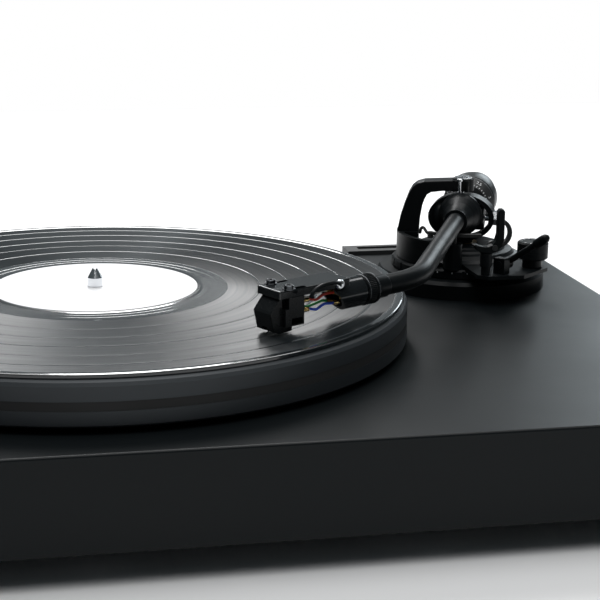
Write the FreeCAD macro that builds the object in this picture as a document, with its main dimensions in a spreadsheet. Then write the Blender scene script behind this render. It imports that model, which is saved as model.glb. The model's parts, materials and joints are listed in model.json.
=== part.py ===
"""Belt-drive record player with a J-shaped gimbal tonearm, as an assembly of separate pieces.

Frame: origin on the surface it stands on, under the centre of its outline.
+X is the right-hand side, +Y the back and +Z up. Lengths are in millimetres, angles in degrees.
"""
import FreeCAD, Part
import math
import os
import re
import types

import Sketcher
from FreeCAD import Placement, Rotation, Vector

# ---------------------------------------------------------------- driving dimensions

SIZES = dict(
    # plinth and its bottom cover
    plinth_width=450.0, plinth_front=-176.0, plinth_back=159.0, plinth_bottom=14.0, deck_top=56.0,
    plinth_round=1.2, wall=16.0, deck_thickness=14.0, cover_thickness=3.0, cover_margin=8.0,
    pilot_radius=1.7, boss_radius=9.0, boss_height=20.0,
    # feet
    foot_radius=28.0, foot_waist=25.0, foot_pad_radius=22.0, foot_pad_height=2.5,
    foot_side=195.0, foot_front=-140.0, foot_rear=84.0,
    # main bearing, spindle and platter
    spindle_x=-56.5, spindle_y=-1.0, spindle_radius=3.6, shaft_radius=5.0, bush_bore=5.03,
    bearing_radius=13.0, bearing_bore=8.5, bearing_low=20.0, bearing_flange=24.0,
    bearing_flange_height=3.5, shaft_low=29.3, hub_radius=20.0, hub_low=60.0, web_low=64.0,
    platter_radius=153.0, platter_low=59.0, platter_top=79.0, platter_bevel=2.6,
    platter_recess=60.0, platter_bore=3.65, groove_depth=0.8,
    belt_low=66.0, belt_width=4.0, belt_thickness=0.6, belt_gap=0.05,
    # record
    record_radius=150.8, record_top=81.0, label_radius=50.0, label_thickness=0.15,
    dead_wax_radius=63.5, rim_radius=146.8, groove_top=80.8,
    # motor
    pulley_offset=117.4, pulley_radius=9.0, pulley_flange=10.6, motor_radius=17.5, motor_low=18.5,
    motor_plate_radius=26.0, motor_plate_low=38.5, motor_plate_top=40.0, motor_shaft_radius=1.0,
    # tonearm base, height ring and column
    pivot_x=156.5, pivot_y=82.0, pivot_z=96.5, base_radius=47.0, base_wall=8.0, base_top=65.8,
    base_bore=22.0, spigot_radius=24.8, spigot_low=36.0, ring_radius=39.0, ring_low=65.9,
    ring_top=71.1, column_radius=21.95, column_bore=10.0, column_low=38.0, platform_low=71.2,
    wing_top=73.2, arch_radius=36.5,
    # gimbal
    hoop_half_width=18.6, hoop_half_height=13.3, hoop_wall_side=3.0, hoop_wall_top=2.2, hoop_drop=2.6,
    hoop_depth=10.0, yaw_shaft_radius=4.0, yaw_bush_bore=4.04,
    # tonearm, in its own frame: x runs forward along the tube from the pivot
    arm_heading=-114.85, arm_droop=1.1, bend_distance=156.5, bend_angle=37.2, bend_radius=45.0,
    tube_radius=4.85, tube_bore=3.9, housing_radius=7.6, bell_radius=12.0, stub_radius=4.5,
    stub_length=62.0, weight_radius=15.0, weight_front=-29.0, weight_back=-60.0,
    dial_front=-22.5, sleeve_radius=6.8,
    # headshell frame: x runs forward along the front run of the tube from the bend
    socket_back=22.0, socket_front=38.0, socket_radius=5.5, collar_radius=7.2, collar_back=29.5,
    collar_front=37.5, barrel_radius=7.0, barrel_front=58.0, plate_back=50.0, plate_front=90.5,
    plate_half_width=8.0, plate_low=5.9, plate_top=9.4, screw_x=84.1, screw_y=6.35,
    cartridge_back=77.0, cartridge_front=87.5, cartridge_half_width=8.4, cartridge_low=-7.0,
    stylus_x=91.4, stylus_low=-10.95,
    # controls
    knob_x=-150.0, knob_y=-146.0, knob_radius=11.0, knob_height=13.0,
    dial_radius=8.4, dial_low=81.6, dial_top=87.4,
    # rear connections
    panel_x=-45.0, panel_width=110.0, panel_low=21.0, panel_height=28.0, panel_thickness=1.5,
    rca_radius=4.15, rca_length=9.0, dc_bore=2.75,
    holder_side=131.5, holder_width=44.0, holder_low=30.0, holder_depth=17.0,
)

doc = FreeCAD.newDocument("RecordPlayer")
sheet = doc.addObject("Spreadsheet::Sheet", "Sizes")
for row, (alias, value) in enumerate(SIZES.items(), start=1):
    sheet.set("A%d" % row, alias)
    sheet.set("B%d" % row, str(value))
    sheet.setAlias("B%d" % row, alias)
doc.recompute()

# the sheet's values as plain numbers, for placements
mm = types.SimpleNamespace(**{alias: float(sheet.get(alias)) for alias in SIZES})

AXIS_TURNS = {
    "z": Rotation(),
    "x": Rotation(Vector(0, 1, 0), 90),
    "y": Rotation(Vector(1, 0, 0), -90),
}


# ---------------------------------------------------------------- helpers

def linked(formula):
    """A formula over the sheet's aliases, as a FreeCAD expression."""
    return re.sub(r"[a-z][a-z_0-9]*",
                  lambda word: "Sizes." + word.group() if word.group() in SIZES else word.group(),
                  str(formula))


def sized(item, **sizes):
    """Bind an object's properties to formulas over the sheet."""
    for prop, formula in sizes.items():
        item.setExpression(prop, linked(formula))
    return item


def box(length, width, height, centre, low):
    """A block centred on centre=(x, y), standing from z=low."""
    block = sized(doc.addObject("Part::Box", "Block"), Length=length, Width=width, Height=height)
    block.setExpression("Placement.Base.x", "%.6g mm - Length / 2" % centre[0])
    block.setExpression("Placement.Base.y", "%.6g mm - Width / 2" % centre[1])
    block.Placement.Base.z = low
    return block


def cylinder(radius, height, at, axis="z"):
    rod = sized(doc.addObject("Part::Cylinder", "Rod"), Radius=radius, Height=height)
    rod.Placement = Placement(Vector(*at), AXIS_TURNS[axis])
    return rod


def cone(radius1, radius2, height, at, axis="z"):
    taper = sized(doc.addObject("Part::Cone", "Taper"),
                  Radius1=radius1, Radius2=radius2, Height=height)
    taper.Placement = Placement(Vector(*at), AXIS_TURNS[axis])
    return taper


def ball(radius, at):
    sphere = sized(doc.addObject("Part::Sphere", "Ball"), Radius=radius)
    sphere.Placement.Base = Vector(*at)
    return sphere


def cut(base, *tools):
    """The base less every tool; tools given together stand clear of one another."""
    trimmed = doc.addObject("Part::Cut", "Trimmed")
    trimmed.Base = base
    trimmed.Tool = tools[0] if len(tools) == 1 else group(tools)
    return trimmed


def fuse(*items):
    joined = doc.addObject("Part::MultiFuse", "Joined")
    joined.Shapes = list(items)
    joined.Refine = True
    return joined


def common(first, second):
    shared = doc.addObject("Part::Common", "Shared")
    shared.Base = first
    shared.Tool = second
    return shared


def group(items):
    """Several separate solids in one sub-part."""
    bundle = doc.addObject("Part::Compound", "Bundle")
    bundle.Links = list(items)
    return bundle


def tube(outer, inner, height, at, axis="z"):
    return cut(cylinder(outer, height, at, axis), cylinder(inner, height, at, axis))


def rounded(base, radius, wanted):
    """Fillet the edges of base for which wanted(edge) is true."""
    doc.recompute()
    chosen = [(i, radius, radius) for i, edge in enumerate(base.Shape.Edges, start=1) if wanted(edge)]
    fillet = doc.addObject("Part::Fillet", "Rounded")
    fillet.Base = base
    fillet.Edges = chosen
    return fillet


def sketched(body, plane, corners):
    """A closed outline of straight edges on one of the body's origin planes."""
    sketch = body.newObject("Sketcher::SketchObject", "Outline")
    support = next(f for f in body.Origin.OriginFeatures if f.Role == plane)
    sketch.AttachmentSupport = (support, [""])
    sketch.MapMode = "FlatFace"
    count = len(corners)
    # any ring of distinct points will do as a start, because every corner is then dimensioned
    start = [Vector(20 + 10 * math.cos(2 * math.pi * i / count),
                    20 + 10 * math.sin(2 * math.pi * i / count), 0) for i in range(count)]
    for i in range(count):
        sketch.addGeometry(Part.LineSegment(start[i], start[(i + 1) % count]))
    for i in range(count):
        sketch.addConstraint(Sketcher.Constraint("Coincident", i, 2, (i + 1) % count, 1))
    for i, (across, along) in enumerate(corners):
        for kind, formula, first in (("DistanceX", across, start[i].x), ("DistanceY", along, start[i].y)):
            index = sketch.addConstraint(Sketcher.Constraint(kind, -1, 1, i, 1, first))
            sketch.setExpression("Constraints[%d]" % index, linked(formula))
    return sketch


def turned(profile, at=(0, 0, 0), axis="z"):
    """A body of revolution about its own z axis: profile is a list of (radius, z) formulas."""
    body = doc.addObject("PartDesign::Body", "Turned")
    sketch = sketched(body, "XZ_Plane", profile)
    turn = body.newObject("PartDesign::Revolution", "Turn")
    turn.Profile = sketch
    turn.ReferenceAxis = (sketch, ["V_Axis"])
    turn.Angle = 360
    body.Placement = Placement(Vector(*at), AXIS_TURNS[axis])
    return body


def plate(corners, thickness, at=(0, 0, 0), turn=None, plane="XY_Plane", midplane=False):
    """A body padded from a straight-edged outline."""
    body = doc.addObject("PartDesign::Body", "Plate")
    pad = body.newObject("PartDesign::Pad", "Pad")
    pad.Profile = sketched(body, plane, corners)
    pad.Midplane = midplane
    pad.setExpression("Length", linked(thickness))
    body.Placement = Placement(Vector(*at), turn or Rotation())
    return body


def repeated(make, places):
    """One sub-part of identical solids, made at each place."""
    return group([make(*place) for place in places])


SUBPARTS = {}


def subpart(name, item, frame=None):
    """Name a finished piece, and move it from its own frame into the assembly."""
    if frame is not None:
        item.Placement = frame.multiply(item.Placement)
    item.Label = name
    SUBPARTS[name] = item
    return item


def pan_screw(x, y, head_low, head_radius, shank_radius, shank_length, upwards):
    """A pan-head screw whose shank goes up from its head, or down from it."""
    head_height = 1.8
    if upwards:
        return fuse(cylinder(head_radius, head_height, (x, y, head_low - head_height)),
                    cylinder(shank_radius, shank_length, (x, y, head_low)))
    return fuse(cylinder(head_radius, head_height, (x, y, head_low)),
                cylinder(shank_radius, shank_length, (x, y, head_low - shank_length)))


# ---------------------------------------------------------------- places

SPINDLE = (mm.spindle_x, mm.spindle_y)
PIVOT = (mm.pivot_x, mm.pivot_y)
MOTOR = (mm.spindle_x - mm.pulley_offset, mm.spindle_y + mm.pulley_offset)
KNOB = (mm.knob_x, mm.knob_y)
FEET = [(side * mm.foot_side, y) for side in (-1, 1) for y in (mm.foot_front, mm.foot_rear)]
MIDDLE_Y = (mm.plinth_front + mm.plinth_back) / 2
DECK_LOW = mm.deck_top - mm.deck_thickness
CAVITY_LOW = mm.plinth_bottom + mm.cover_thickness
COVER_SCREWS = [(side * 213.0, y) for side in (-1, 1) for y in (-90.0, 20.0, 138.0)]
COVER_SCREWS += [(x, -164.0) for x in (-70.0, 70.0)]


def around(centre, radius, angles):
    """Places on a circle about centre, at the given angles."""
    return [(centre[0] + radius * math.cos(math.radians(a)),
             centre[1] + radius * math.sin(math.radians(a))) for a in angles]


BEARING_SCREWS = around(SPINDLE, 18.5, (90, 210, 330))
MOTOR_SCREWS = around(MOTOR, 22.0, (0, 120, 240))
BASE_SCREWS = around(PIVOT, 28.5, (45, 165, 285))
PANEL_SCREWS = [(mm.panel_x + side * 50.0, mm.panel_low + mm.panel_height / 2) for side in (-1, 1)]
HOLDERS = [-mm.holder_side, mm.holder_side]
HOLDER_SCREWS = [(x + dx, mm.holder_low + 13) for x in HOLDERS for dx in (-18, 18)]
BOARD = (mm.panel_x, 95.0)
BOARD_LOW = 21.0
BOARD_TOP = BOARD_LOW + 1.6
BOARD_FIXINGS = [(BOARD[0] + sx * 44, BOARD[1] + sy * 24) for sx in (-1, 1) for sy in (-1, 1)]


# ---------------------------------------------------------------- plinth, cover and feet

def make_plinth():
    block = box("plinth_width", "plinth_back - plinth_front", "deck_top - plinth_bottom",
                (0, MIDDLE_Y), mm.plinth_bottom)
    outside = rounded(block, mm.plinth_round, lambda edge: True)
    cavity = box("plinth_width - 2 * wall", "plinth_back - plinth_front - 2 * wall",
                 "deck_top - plinth_bottom - deck_thickness", (0, MIDDLE_Y), mm.plinth_bottom)
    rebate = box("plinth_width - 2 * cover_margin", "plinth_back - plinth_front - 2 * cover_margin",
                 "cover_thickness", (0, MIDDLE_Y), mm.plinth_bottom)
    shell = cut(cut(outside, cavity), rebate)
    bosses = [cylinder("boss_radius", "deck_top - deck_thickness - plinth_bottom - cover_thickness + 1",
                       (x, y, CAVITY_LOW)) for x, y in FEET]
    holes = [cylinder("bearing_radius + 0.1", 40, (*SPINDLE, DECK_LOW - 10)),
             cylinder(12, 40, (*MOTOR, DECK_LOW - 10)),
             cylinder("spigot_radius + 0.1", 40, (*PIVOT, DECK_LOW - 10)),
             cylinder(4, 40, (*KNOB, DECK_LOW - 10))]
    holes += [cylinder(2.2, 22, (x, y, CAVITY_LOW - 1)) for x, y in FEET]
    holes += [cylinder("pilot_radius", 14, (x, y, CAVITY_LOW - 1)) for x, y in COVER_SCREWS]
    holes += [cylinder("pilot_radius", 12, (x, y, mm.deck_top - 11)) for x, y in BEARING_SCREWS]
    holes += [cylinder("pilot_radius", 9, (x, y, DECK_LOW - 1)) for x, y in MOTOR_SCREWS]
    holes += [cylinder(1.4, 12, (x, mm.plinth_back - 12, z), "y") for x, z in PANEL_SCREWS]
    holes += [cylinder(1.8, 13, (x, mm.plinth_back - 12, z), "y") for x, z in HOLDER_SCREWS]
    window = box("panel_width - 14", 30, "panel_height - 8",
                 (mm.panel_x, mm.plinth_back - 10), mm.panel_low + 4)
    recess = box("panel_width + 1", "panel_thickness * 2", "panel_height + 1",
                 (mm.panel_x, mm.plinth_back), mm.panel_low - 0.5)
    return cut(cut(fuse(shell, *bosses), fuse(window, recess)), *holes)


def make_bottom_cover():
    """A moulded panel with vent slots, countersunk holes and the circuit board's standoffs."""
    panel = box("plinth_width - 2 * cover_margin - 1",
                      "plinth_back - plinth_front - 2 * cover_margin - 1",
                      "cover_thickness", (0, MIDDLE_Y), mm.plinth_bottom)
    countersinks = [cone(3.6, 1.7, 1.9, (x, y, mm.plinth_bottom)) for x, y in COVER_SCREWS]
    clearances = [cylinder("pilot_radius", 6, (x, y, mm.plinth_bottom - 1)) for x, y in COVER_SCREWS]
    clearances += [cylinder(2.3, 6, (x, y, mm.plinth_bottom - 1)) for x, y in FEET]
    vents = [box(34, 3.2, 6, (x, y), mm.plinth_bottom - 1)
             for x in (-95.0, 95.0) for y in range(-50, 31, 16)]
    standoffs = [tube(3, 1.25, BOARD_LOW - CAVITY_LOW + 1, (x, y, CAVITY_LOW - 1))
                 for x, y in BOARD_FIXINGS]
    pierced = cut(cut(panel, *clearances, *vents), *countersinks)
    return fuse(pierced, *standoffs)


def cover_screw(x, y):
    return fuse(cone(3.5, 1.6, 1.9, (x, y, mm.plinth_bottom)),
                cylinder(1.6, 12, (x, y, mm.plinth_bottom + 1.5)))


def foot(x, y):
    body = turned([("2.3", "foot_pad_height"), ("foot_waist", "foot_pad_height"),
                   ("foot_radius", "foot_pad_height + 3"), ("foot_radius", "plinth_bottom - 1"),
                   ("foot_radius - 1", "plinth_bottom"), ("2.3", "plinth_bottom")], (x, y, 0))
    return cut(body, cylinder(5.5, 5.5, (x, y, 0)))


def foot_pad(x, y):
    return turned([("6", "0.8"), ("7", "0"), ("foot_pad_radius - 1.2", "0"),
                   ("foot_pad_radius", "1.2"), ("foot_pad_radius", "foot_pad_height"),
                   ("6", "foot_pad_height")], (x, y, 0))


def foot_screw(x, y):
    head = cut(cylinder(4.6, 2.6, (x, y, 2.9)), cylinder(1.5, 1.5, (x, y, 2.9)))
    return fuse(head, cylinder(2.1, 27, (x, y, 5.5)))


subpart("plinth", make_plinth())
subpart("bottom_cover", make_bottom_cover())
subpart("feet", repeated(foot, FEET))
subpart("foot_pads", repeated(foot_pad, FEET))
subpart("base_screws", group([repeated(cover_screw, COVER_SCREWS), repeated(foot_screw, FEET)]))


# ---------------------------------------------------------------- main bearing, platter and record

def make_bearing_housing():
    body = turned([("bearing_bore", "bearing_low + 4"), ("bearing_bore", "deck_top + bearing_flange_height"),
                   ("bearing_flange", "deck_top + bearing_flange_height"), ("bearing_flange", "deck_top"),
                   ("bearing_radius", "deck_top"), ("bearing_radius", "bearing_low"),
                   ("0", "bearing_low"), ("0", "bearing_low + 4")], (*SPINDLE, 0))
    seats = [cylinder(2.9, 2, (x, y, mm.deck_top + mm.bearing_flange_height - 1.8))
             for x, y in BEARING_SCREWS]
    passes = [cylinder("pilot_radius", 5, (x, y, mm.deck_top - 0.5)) for x, y in BEARING_SCREWS]
    return cut(body, *seats, *passes)


def bearing_bush(low):
    return tube("bearing_bore", "bush_bore", 9, (*SPINDLE, low))


def make_spindle():
    body = turned([("0", "shaft_low"), ("shaft_radius", "shaft_low"), ("shaft_radius", "hub_low"),
                   ("hub_radius", "hub_low"), ("hub_radius", "web_low"),
                   ("spindle_radius - 0.3", "web_low"), ("spindle_radius - 0.3", "record_top + 0.25"),
                   ("spindle_radius", "record_top + 0.25"), ("spindle_radius", "record_top + 4.5"),
                   ("1.2", "record_top + 9"), ("0", "record_top + 9.4")], (*SPINDLE, 0))
    return cut(body, cylinder(2.6, 2.4, (*SPINDLE, mm.shaft_low)))


def make_platter():
    return turned([("platter_bore", "web_low"), ("platter_recess", "web_low"),
                   ("platter_recess", "platter_low"), ("platter_radius - 1", "platter_low"),
                   ("platter_radius", "platter_low + 1"), ("platter_radius", "belt_low"),
                   ("platter_radius - groove_depth", "belt_low"),
                   ("platter_radius - groove_depth", "belt_low + belt_width + 0.1"),
                   ("platter_radius", "belt_low + belt_width + 0.1"),
                   ("platter_radius", "platter_top - platter_bevel"),
                   ("platter_radius - 0.9", "platter_top - platter_bevel + 1.5"),
                   ("platter_radius - platter_bevel", "platter_top"),
                   ("platter_bore", "platter_top")], (*SPINDLE, 0))


def make_record():
    return turned([("platter_bore", "platter_top"), ("record_radius - 0.5", "platter_top"),
                   ("record_radius", "platter_top + 0.5"), ("record_radius", "record_top - 0.5"),
                   ("record_radius - 0.5", "record_top - 0.05"), ("rim_radius + 1", "record_top"),
                   ("rim_radius", "groove_top"), ("dead_wax_radius", "groove_top"),
                   ("dead_wax_radius - 0.5", "groove_top + 0.05"),
                   ("label_radius + 1.5", "groove_top + 0.05"), ("label_radius + 0.5", "record_top"),
                   ("platter_bore", "record_top")], (*SPINDLE, 0))


subpart("main_bearing_housing", make_bearing_housing())
subpart("bearing_bushes", group([bearing_bush(27.5), bearing_bush(48.0),
                                 cylinder("bearing_bore", 2.4, (*SPINDLE, mm.bearing_low + 4))]))
subpart("spindle", make_spindle())
subpart("thrust_ball", ball(2.5, (*SPINDLE, mm.bearing_low + 6.4 + 2.52)))
subpart("platter", make_platter())
subpart("record", make_record())
subpart("record_label", tube("label_radius", "platter_bore", "label_thickness", (*SPINDLE, mm.record_top)))


# ---------------------------------------------------------------- motor and belt

def make_drive_belt():
    """A flat loop around the platter's groove and the pulley, from the sheet's own sizes."""
    reach = math.dist(SPINDLE, MOTOR)
    big = mm.platter_radius - mm.groove_depth + mm.belt_gap
    small = mm.pulley_radius + mm.belt_gap
    lean = math.acos((big - small) / reach)

    def loop(extra):
        rim, wheel = big + extra, small + extra
        def on(radius, x, angle):
            return Vector(x + radius * math.cos(angle), radius * math.sin(angle), 0)
        wire = Part.Wire([
            Part.Arc(on(rim, 0, lean), on(rim, 0, math.pi), on(rim, 0, -lean)).toShape(),
            Part.LineSegment(on(rim, 0, -lean), on(wheel, reach, -lean)).toShape(),
            Part.Arc(on(wheel, reach, -lean), on(wheel, reach, 0), on(wheel, reach, lean)).toShape(),
            Part.LineSegment(on(wheel, reach, lean), on(rim, 0, lean)).toShape()])
        return Part.Face(wire).extrude(Vector(0, 0, mm.belt_width))

    belt = doc.addObject("Part::Feature", "Belt")
    belt.Shape = loop(mm.belt_thickness).cut(loop(0))
    towards = math.degrees(math.atan2(MOTOR[1] - SPINDLE[1], MOTOR[0] - SPINDLE[0]))
    belt.Placement = Placement(Vector(*SPINDLE, mm.belt_low + 0.05), Rotation(Vector(0, 0, 1), towards))
    return belt


def make_motor_pulley():
    return turned([("motor_shaft_radius", "belt_low - 5"), ("5", "belt_low - 5"), ("5", "belt_low - 1.2"),
                   ("pulley_flange", "belt_low - 1.2"), ("pulley_flange", "belt_low - 0.3"),
                   ("pulley_radius", "belt_low"), ("pulley_radius", "belt_low + belt_width + 0.1"),
                   ("pulley_flange", "belt_low + belt_width + 0.4"),
                   ("pulley_flange", "belt_low + belt_width + 1.4"),
                   ("pulley_flange - 1", "belt_low + belt_width + 2"),
                   ("motor_shaft_radius", "belt_low + belt_width + 2")], (*MOTOR, 0))


def make_motor():
    """A thin can with a bore for the shaft and a ring of windings inside."""
    can = turned([("0", "motor_low"), ("motor_radius - 1", "motor_low"), ("motor_radius", "motor_low + 1"),
                  ("motor_radius", "motor_plate_low"), ("motor_shaft_radius + 0.05", "motor_plate_low"),
                  ("motor_shaft_radius + 0.05", "motor_plate_low - 1.5"),
                  ("motor_radius - 1.5", "motor_plate_low - 1.5"), ("motor_radius - 1.5", "motor_low + 1.5"),
                  ("0", "motor_low + 1.5")], (*MOTOR, 0))
    windings = tube("motor_radius - 1.55", "motor_radius - 4", 13, (*MOTOR, mm.motor_low + 3.5))
    return group([can, windings])


def make_motor_plate():
    disc = tube("motor_plate_radius", 4, "motor_plate_top - motor_plate_low", (*MOTOR, mm.motor_plate_low))
    return cut(disc, *[cylinder("pilot_radius", 4, (x, y, mm.motor_plate_low - 1)) for x, y in MOTOR_SCREWS])


subpart("drive_belt", make_drive_belt())
subpart("motor_pulley", make_motor_pulley())
subpart("motor_shaft", turned([("0", "motor_low + 1.6"), ("motor_shaft_radius", "motor_low + 1.6"),
                               ("motor_shaft_radius", "motor_low + 4"), ("12.8", "motor_low + 4"),
                               ("12.8", "motor_low + 15.5"), ("motor_shaft_radius", "motor_low + 15.5"),
                               ("motor_shaft_radius", "belt_low + belt_width + 2"),
                               ("0", "belt_low + belt_width + 2")], (*MOTOR, 0)))
subpart("motor", make_motor())
subpart("motor_plate", make_motor_plate())
subpart("motor_grommets", repeated(
    lambda x, y: tube(3.8, "pilot_radius", "deck_top - deck_thickness - motor_plate_top",
                      (x, y, mm.motor_plate_top)), MOTOR_SCREWS))
BEARING_HEAD_LOW = mm.deck_top + mm.bearing_flange_height - 1.8
subpart("deck_screws", group(
    [pan_screw(x, y, BEARING_HEAD_LOW, 2.7, 1.5, 11, False) for x, y in BEARING_SCREWS]
    + [pan_screw(x, y, mm.motor_plate_low, 3.0, 1.5, 10, True) for x, y in MOTOR_SCREWS]))


# ---------------------------------------------------------------- electronics and connections

RCA_PLACES = [(mm.panel_x - 34, 35.0), (mm.panel_x - 18, 35.0)]
GROUND = (mm.panel_x - 2, 35.0)
DC_PLACE = (mm.panel_x + 38, 35.0)
SWITCH_PLACE = (mm.panel_x + 18, 35.0)
PANEL_OUT = mm.plinth_back


def make_preamp_board():
    return cut(box(100, 60, 1.6, BOARD, BOARD_LOW),
               *[cylinder(1.4, 4, (x, y, BOARD_LOW - 1)) for x, y in BOARD_FIXINGS])


def make_board_components():
    cans = [cylinder(4, 11, (BOARD[0] + dx, BOARD[1] + dy, BOARD_TOP))
            for dx, dy in ((-30, 15), (-18, 15), (30, 12))]
    chips = [box(10, 6, 3.2, (BOARD[0] + dx, BOARD[1] + dy), BOARD_TOP)
             for dx, dy in ((-25, -8), (-5, -8), (15, -8))]
    regulator = box(10, 4.5, 14, (BOARD[0] + 30, BOARD[1] - 10), BOARD_TOP)
    return group([*cans, *chips, regulator])


def make_jack_panel():
    panel = box("panel_width", "panel_thickness", "panel_height",
                (mm.panel_x, PANEL_OUT - mm.panel_thickness / 2), mm.panel_low)
    inward = PANEL_OUT - mm.panel_thickness - 1
    holes = [cylinder(5.2, 5, (x, inward, z), "y") for x, z in RCA_PLACES]
    holes += [cylinder(2.1, 5, (GROUND[0], inward, GROUND[1]), "y"),
              cylinder(4.5, 5, (DC_PLACE[0], inward, DC_PLACE[1]), "y")]
    holes += [cylinder(1.4, 5, (x, inward, z), "y") for x, z in PANEL_SCREWS]
    slot = box(9, 5, 4, (SWITCH_PLACE[0], PANEL_OUT - 1), SWITCH_PLACE[1] - 2)
    return cut(panel, slot, *holes)


def rca_shell(x, z):
    """A phono socket's metal barrel, its flange behind the panel."""
    barrel = tube("rca_radius", 3.3, "rca_length + 12", (x, PANEL_OUT - 12, z), "y")
    flange = tube(5.15, "rca_radius", 1.4, (x, PANEL_OUT - 1.4, z), "y")
    return fuse(barrel, flange)


def rca_insulator(x, z):
    return tube(3.3, 1.6, 19, (x, PANEL_OUT - 11, z), "y")


def make_dc_jack():
    body = fuse(box(9, 12, 11, (DC_PLACE[0], PANEL_OUT - mm.panel_thickness - 6), DC_PLACE[1] - 5.5),
                cylinder(4.45, 1.6, (DC_PLACE[0], PANEL_OUT - 1.6, DC_PLACE[1]), "y"))
    hollow = cylinder("dc_bore", 10, (DC_PLACE[0], PANEL_OUT - 10, DC_PLACE[1]), "y")
    contact = cylinder(1.0, 9, (DC_PLACE[0], PANEL_OUT - 10.5, DC_PLACE[1]), "y")
    return fuse(cut(body, hollow), contact)


def make_ground_terminal():
    post = cylinder(2.0, 16, (GROUND[0], PANEL_OUT - 8, GROUND[1]), "y")
    nut = cylinder(4.5, 5, (GROUND[0], PANEL_OUT + 2, GROUND[1]), "y")
    washer = cylinder(3.6, 0.8, (GROUND[0], PANEL_OUT, GROUND[1]), "y")
    return fuse(post, nut, washer)


def make_switch_body():
    y = PANEL_OUT - mm.panel_thickness - 4
    body = box(14, 8, 8, (SWITCH_PLACE[0], y), SWITCH_PLACE[1] - 4)
    return cut(body, box(9, 5, 4, (SWITCH_PLACE[0], PANEL_OUT - 3.5), SWITCH_PLACE[1] - 2))


def panel_screw(x, z):
    return fuse(cylinder(2.6, 1.5, (x, PANEL_OUT, z), "y"), cylinder(1.3, 10, (x, PANEL_OUT - 10, z), "y"))


def holder(x):
    """A hinge holder for a lift-off dust cover: a block with a pocket open at its top."""
    block = box("holder_width", "holder_depth", "deck_top + 2.4 - holder_low",
                (x, mm.plinth_back + mm.holder_depth / 2), mm.holder_low)
    softened = rounded(block, 1.0, lambda edge: edge.BoundBox.YMin > mm.plinth_back + 1)
    pocket = box(28, 6, 21, (x, mm.plinth_back + 9), mm.deck_top - 18)
    passes = [cylinder(1.8, 30, (x + dx, mm.plinth_back - 5, mm.holder_low + 13), "y") for dx in (-18, 18)]
    seats = [cylinder(3.3, 3, (x + dx, mm.plinth_back + mm.holder_depth - 1.6, mm.holder_low + 13), "y")
             for dx in (-18, 18)]
    return cut(cut(softened, pocket, *passes), *seats)


def holder_screw(x, z):
    return fuse(cylinder(3.2, 1.5, (x, mm.plinth_back + mm.holder_depth - 1.6, z), "y"),
                cylinder(1.75, 27, (x, mm.plinth_back - 11.4, z), "y"))


subpart("preamp_board", make_preamp_board())
subpart("board_components", group([make_board_components(), make_switch_body()]))
subpart("jack_panel", make_jack_panel())
subpart("rca_jacks", group([repeated(rca_shell, RCA_PLACES), repeated(rca_insulator, RCA_PLACES)]))
subpart("power_inlet", make_dc_jack())
subpart("ground_terminal", make_ground_terminal())
subpart("preamp_switch_slider", box(3.4, 6.5, 3.6, (SWITCH_PLACE[0] - 2.6, PANEL_OUT - 0.5), SWITCH_PLACE[1] - 1.8))
subpart("rear_screws", group(
    [pan_screw(x, y, BOARD_TOP, 2.5, 1.2, 5, False) for x, y in BOARD_FIXINGS]
    + [panel_screw(x, z) for x, z in PANEL_SCREWS] + [holder_screw(x, z) for x, z in HOLDER_SCREWS]))
subpart("cover_hinge_holders", repeated(holder, [(x,) for x in HOLDERS]))


# ---------------------------------------------------------------- speed control

def make_speed_knob():
    top = mm.deck_top + 0.6
    cap = turned([("0", "0"), ("knob_radius - 0.6", "0"), ("knob_radius", "0.8"),
                  ("knob_radius", "knob_height - 1.2"), ("knob_radius - 1.2", "knob_height"),
                  ("0", "knob_height")], (*KNOB, top))
    pointer = box(0.9, 7, 1, (KNOB[0], KNOB[1] + 7.2), top + mm.knob_height - 0.7)
    stem = cylinder(3, 26, (*KNOB, DECK_LOW - 11.4))
    return cut(fuse(cap, stem), pointer)


subpart("speed_switch", cut(cylinder(10, 13, (*KNOB, DECK_LOW - 13)),
                            cylinder(3.05, 13, (*KNOB, DECK_LOW - 11.5))))
subpart("speed_knob", make_speed_knob())


# ---------------------------------------------------------------- tonearm base, height ring, platform

PIVOT_FRAME = Placement(Vector(*PIVOT, 0), Rotation())
ARCH_TURN = Rotation(Vector(0, 0, 1), 162.26)
ARMREST = (-4.0, -57.0)
SKATING = (27.4, -42.2)
LEVER = (5.6, -54.8)
LIFT_ANGLE = -114.85
LIFT = around((0, 0), 35.0, (LIFT_ANGLE,))[0]
CLIP_PIN_Z = 88.2
LEVER_TURN = Rotation(Vector(0, 0, 1), 36.0)
LEVER_AXIS_Z = mm.wing_top + 5
TIER_HEIGHT = 8.4


def make_arm_base():
    body = turned([("base_bore", "spigot_low"), ("spigot_radius", "spigot_low"), ("spigot_radius", "deck_top"),
                   ("base_radius", "deck_top"), ("base_radius", "deck_top + base_wall"),
                   ("base_radius - 1.8", "base_top"), ("base_bore", "base_top")])
    notch = box(3, 0.9, 9.6, (14.8, -46.9), mm.deck_top)
    return cut(body, notch)


def make_height_ring():
    body = turned([("base_bore + 4", "ring_low"), ("ring_radius - 0.5", "ring_low"),
                   ("ring_radius", "ring_low + 0.5"), ("ring_radius", "ring_top - 1"),
                   ("ring_radius - 1", "ring_top"), ("base_bore + 4", "ring_top")])
    return cut(body, *[cylinder(0.9, 6, (x, y, mm.ring_low + 1)) for x, y in
                       around((0, 0), mm.ring_radius + 0.3, range(0, 360, 15))])


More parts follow.
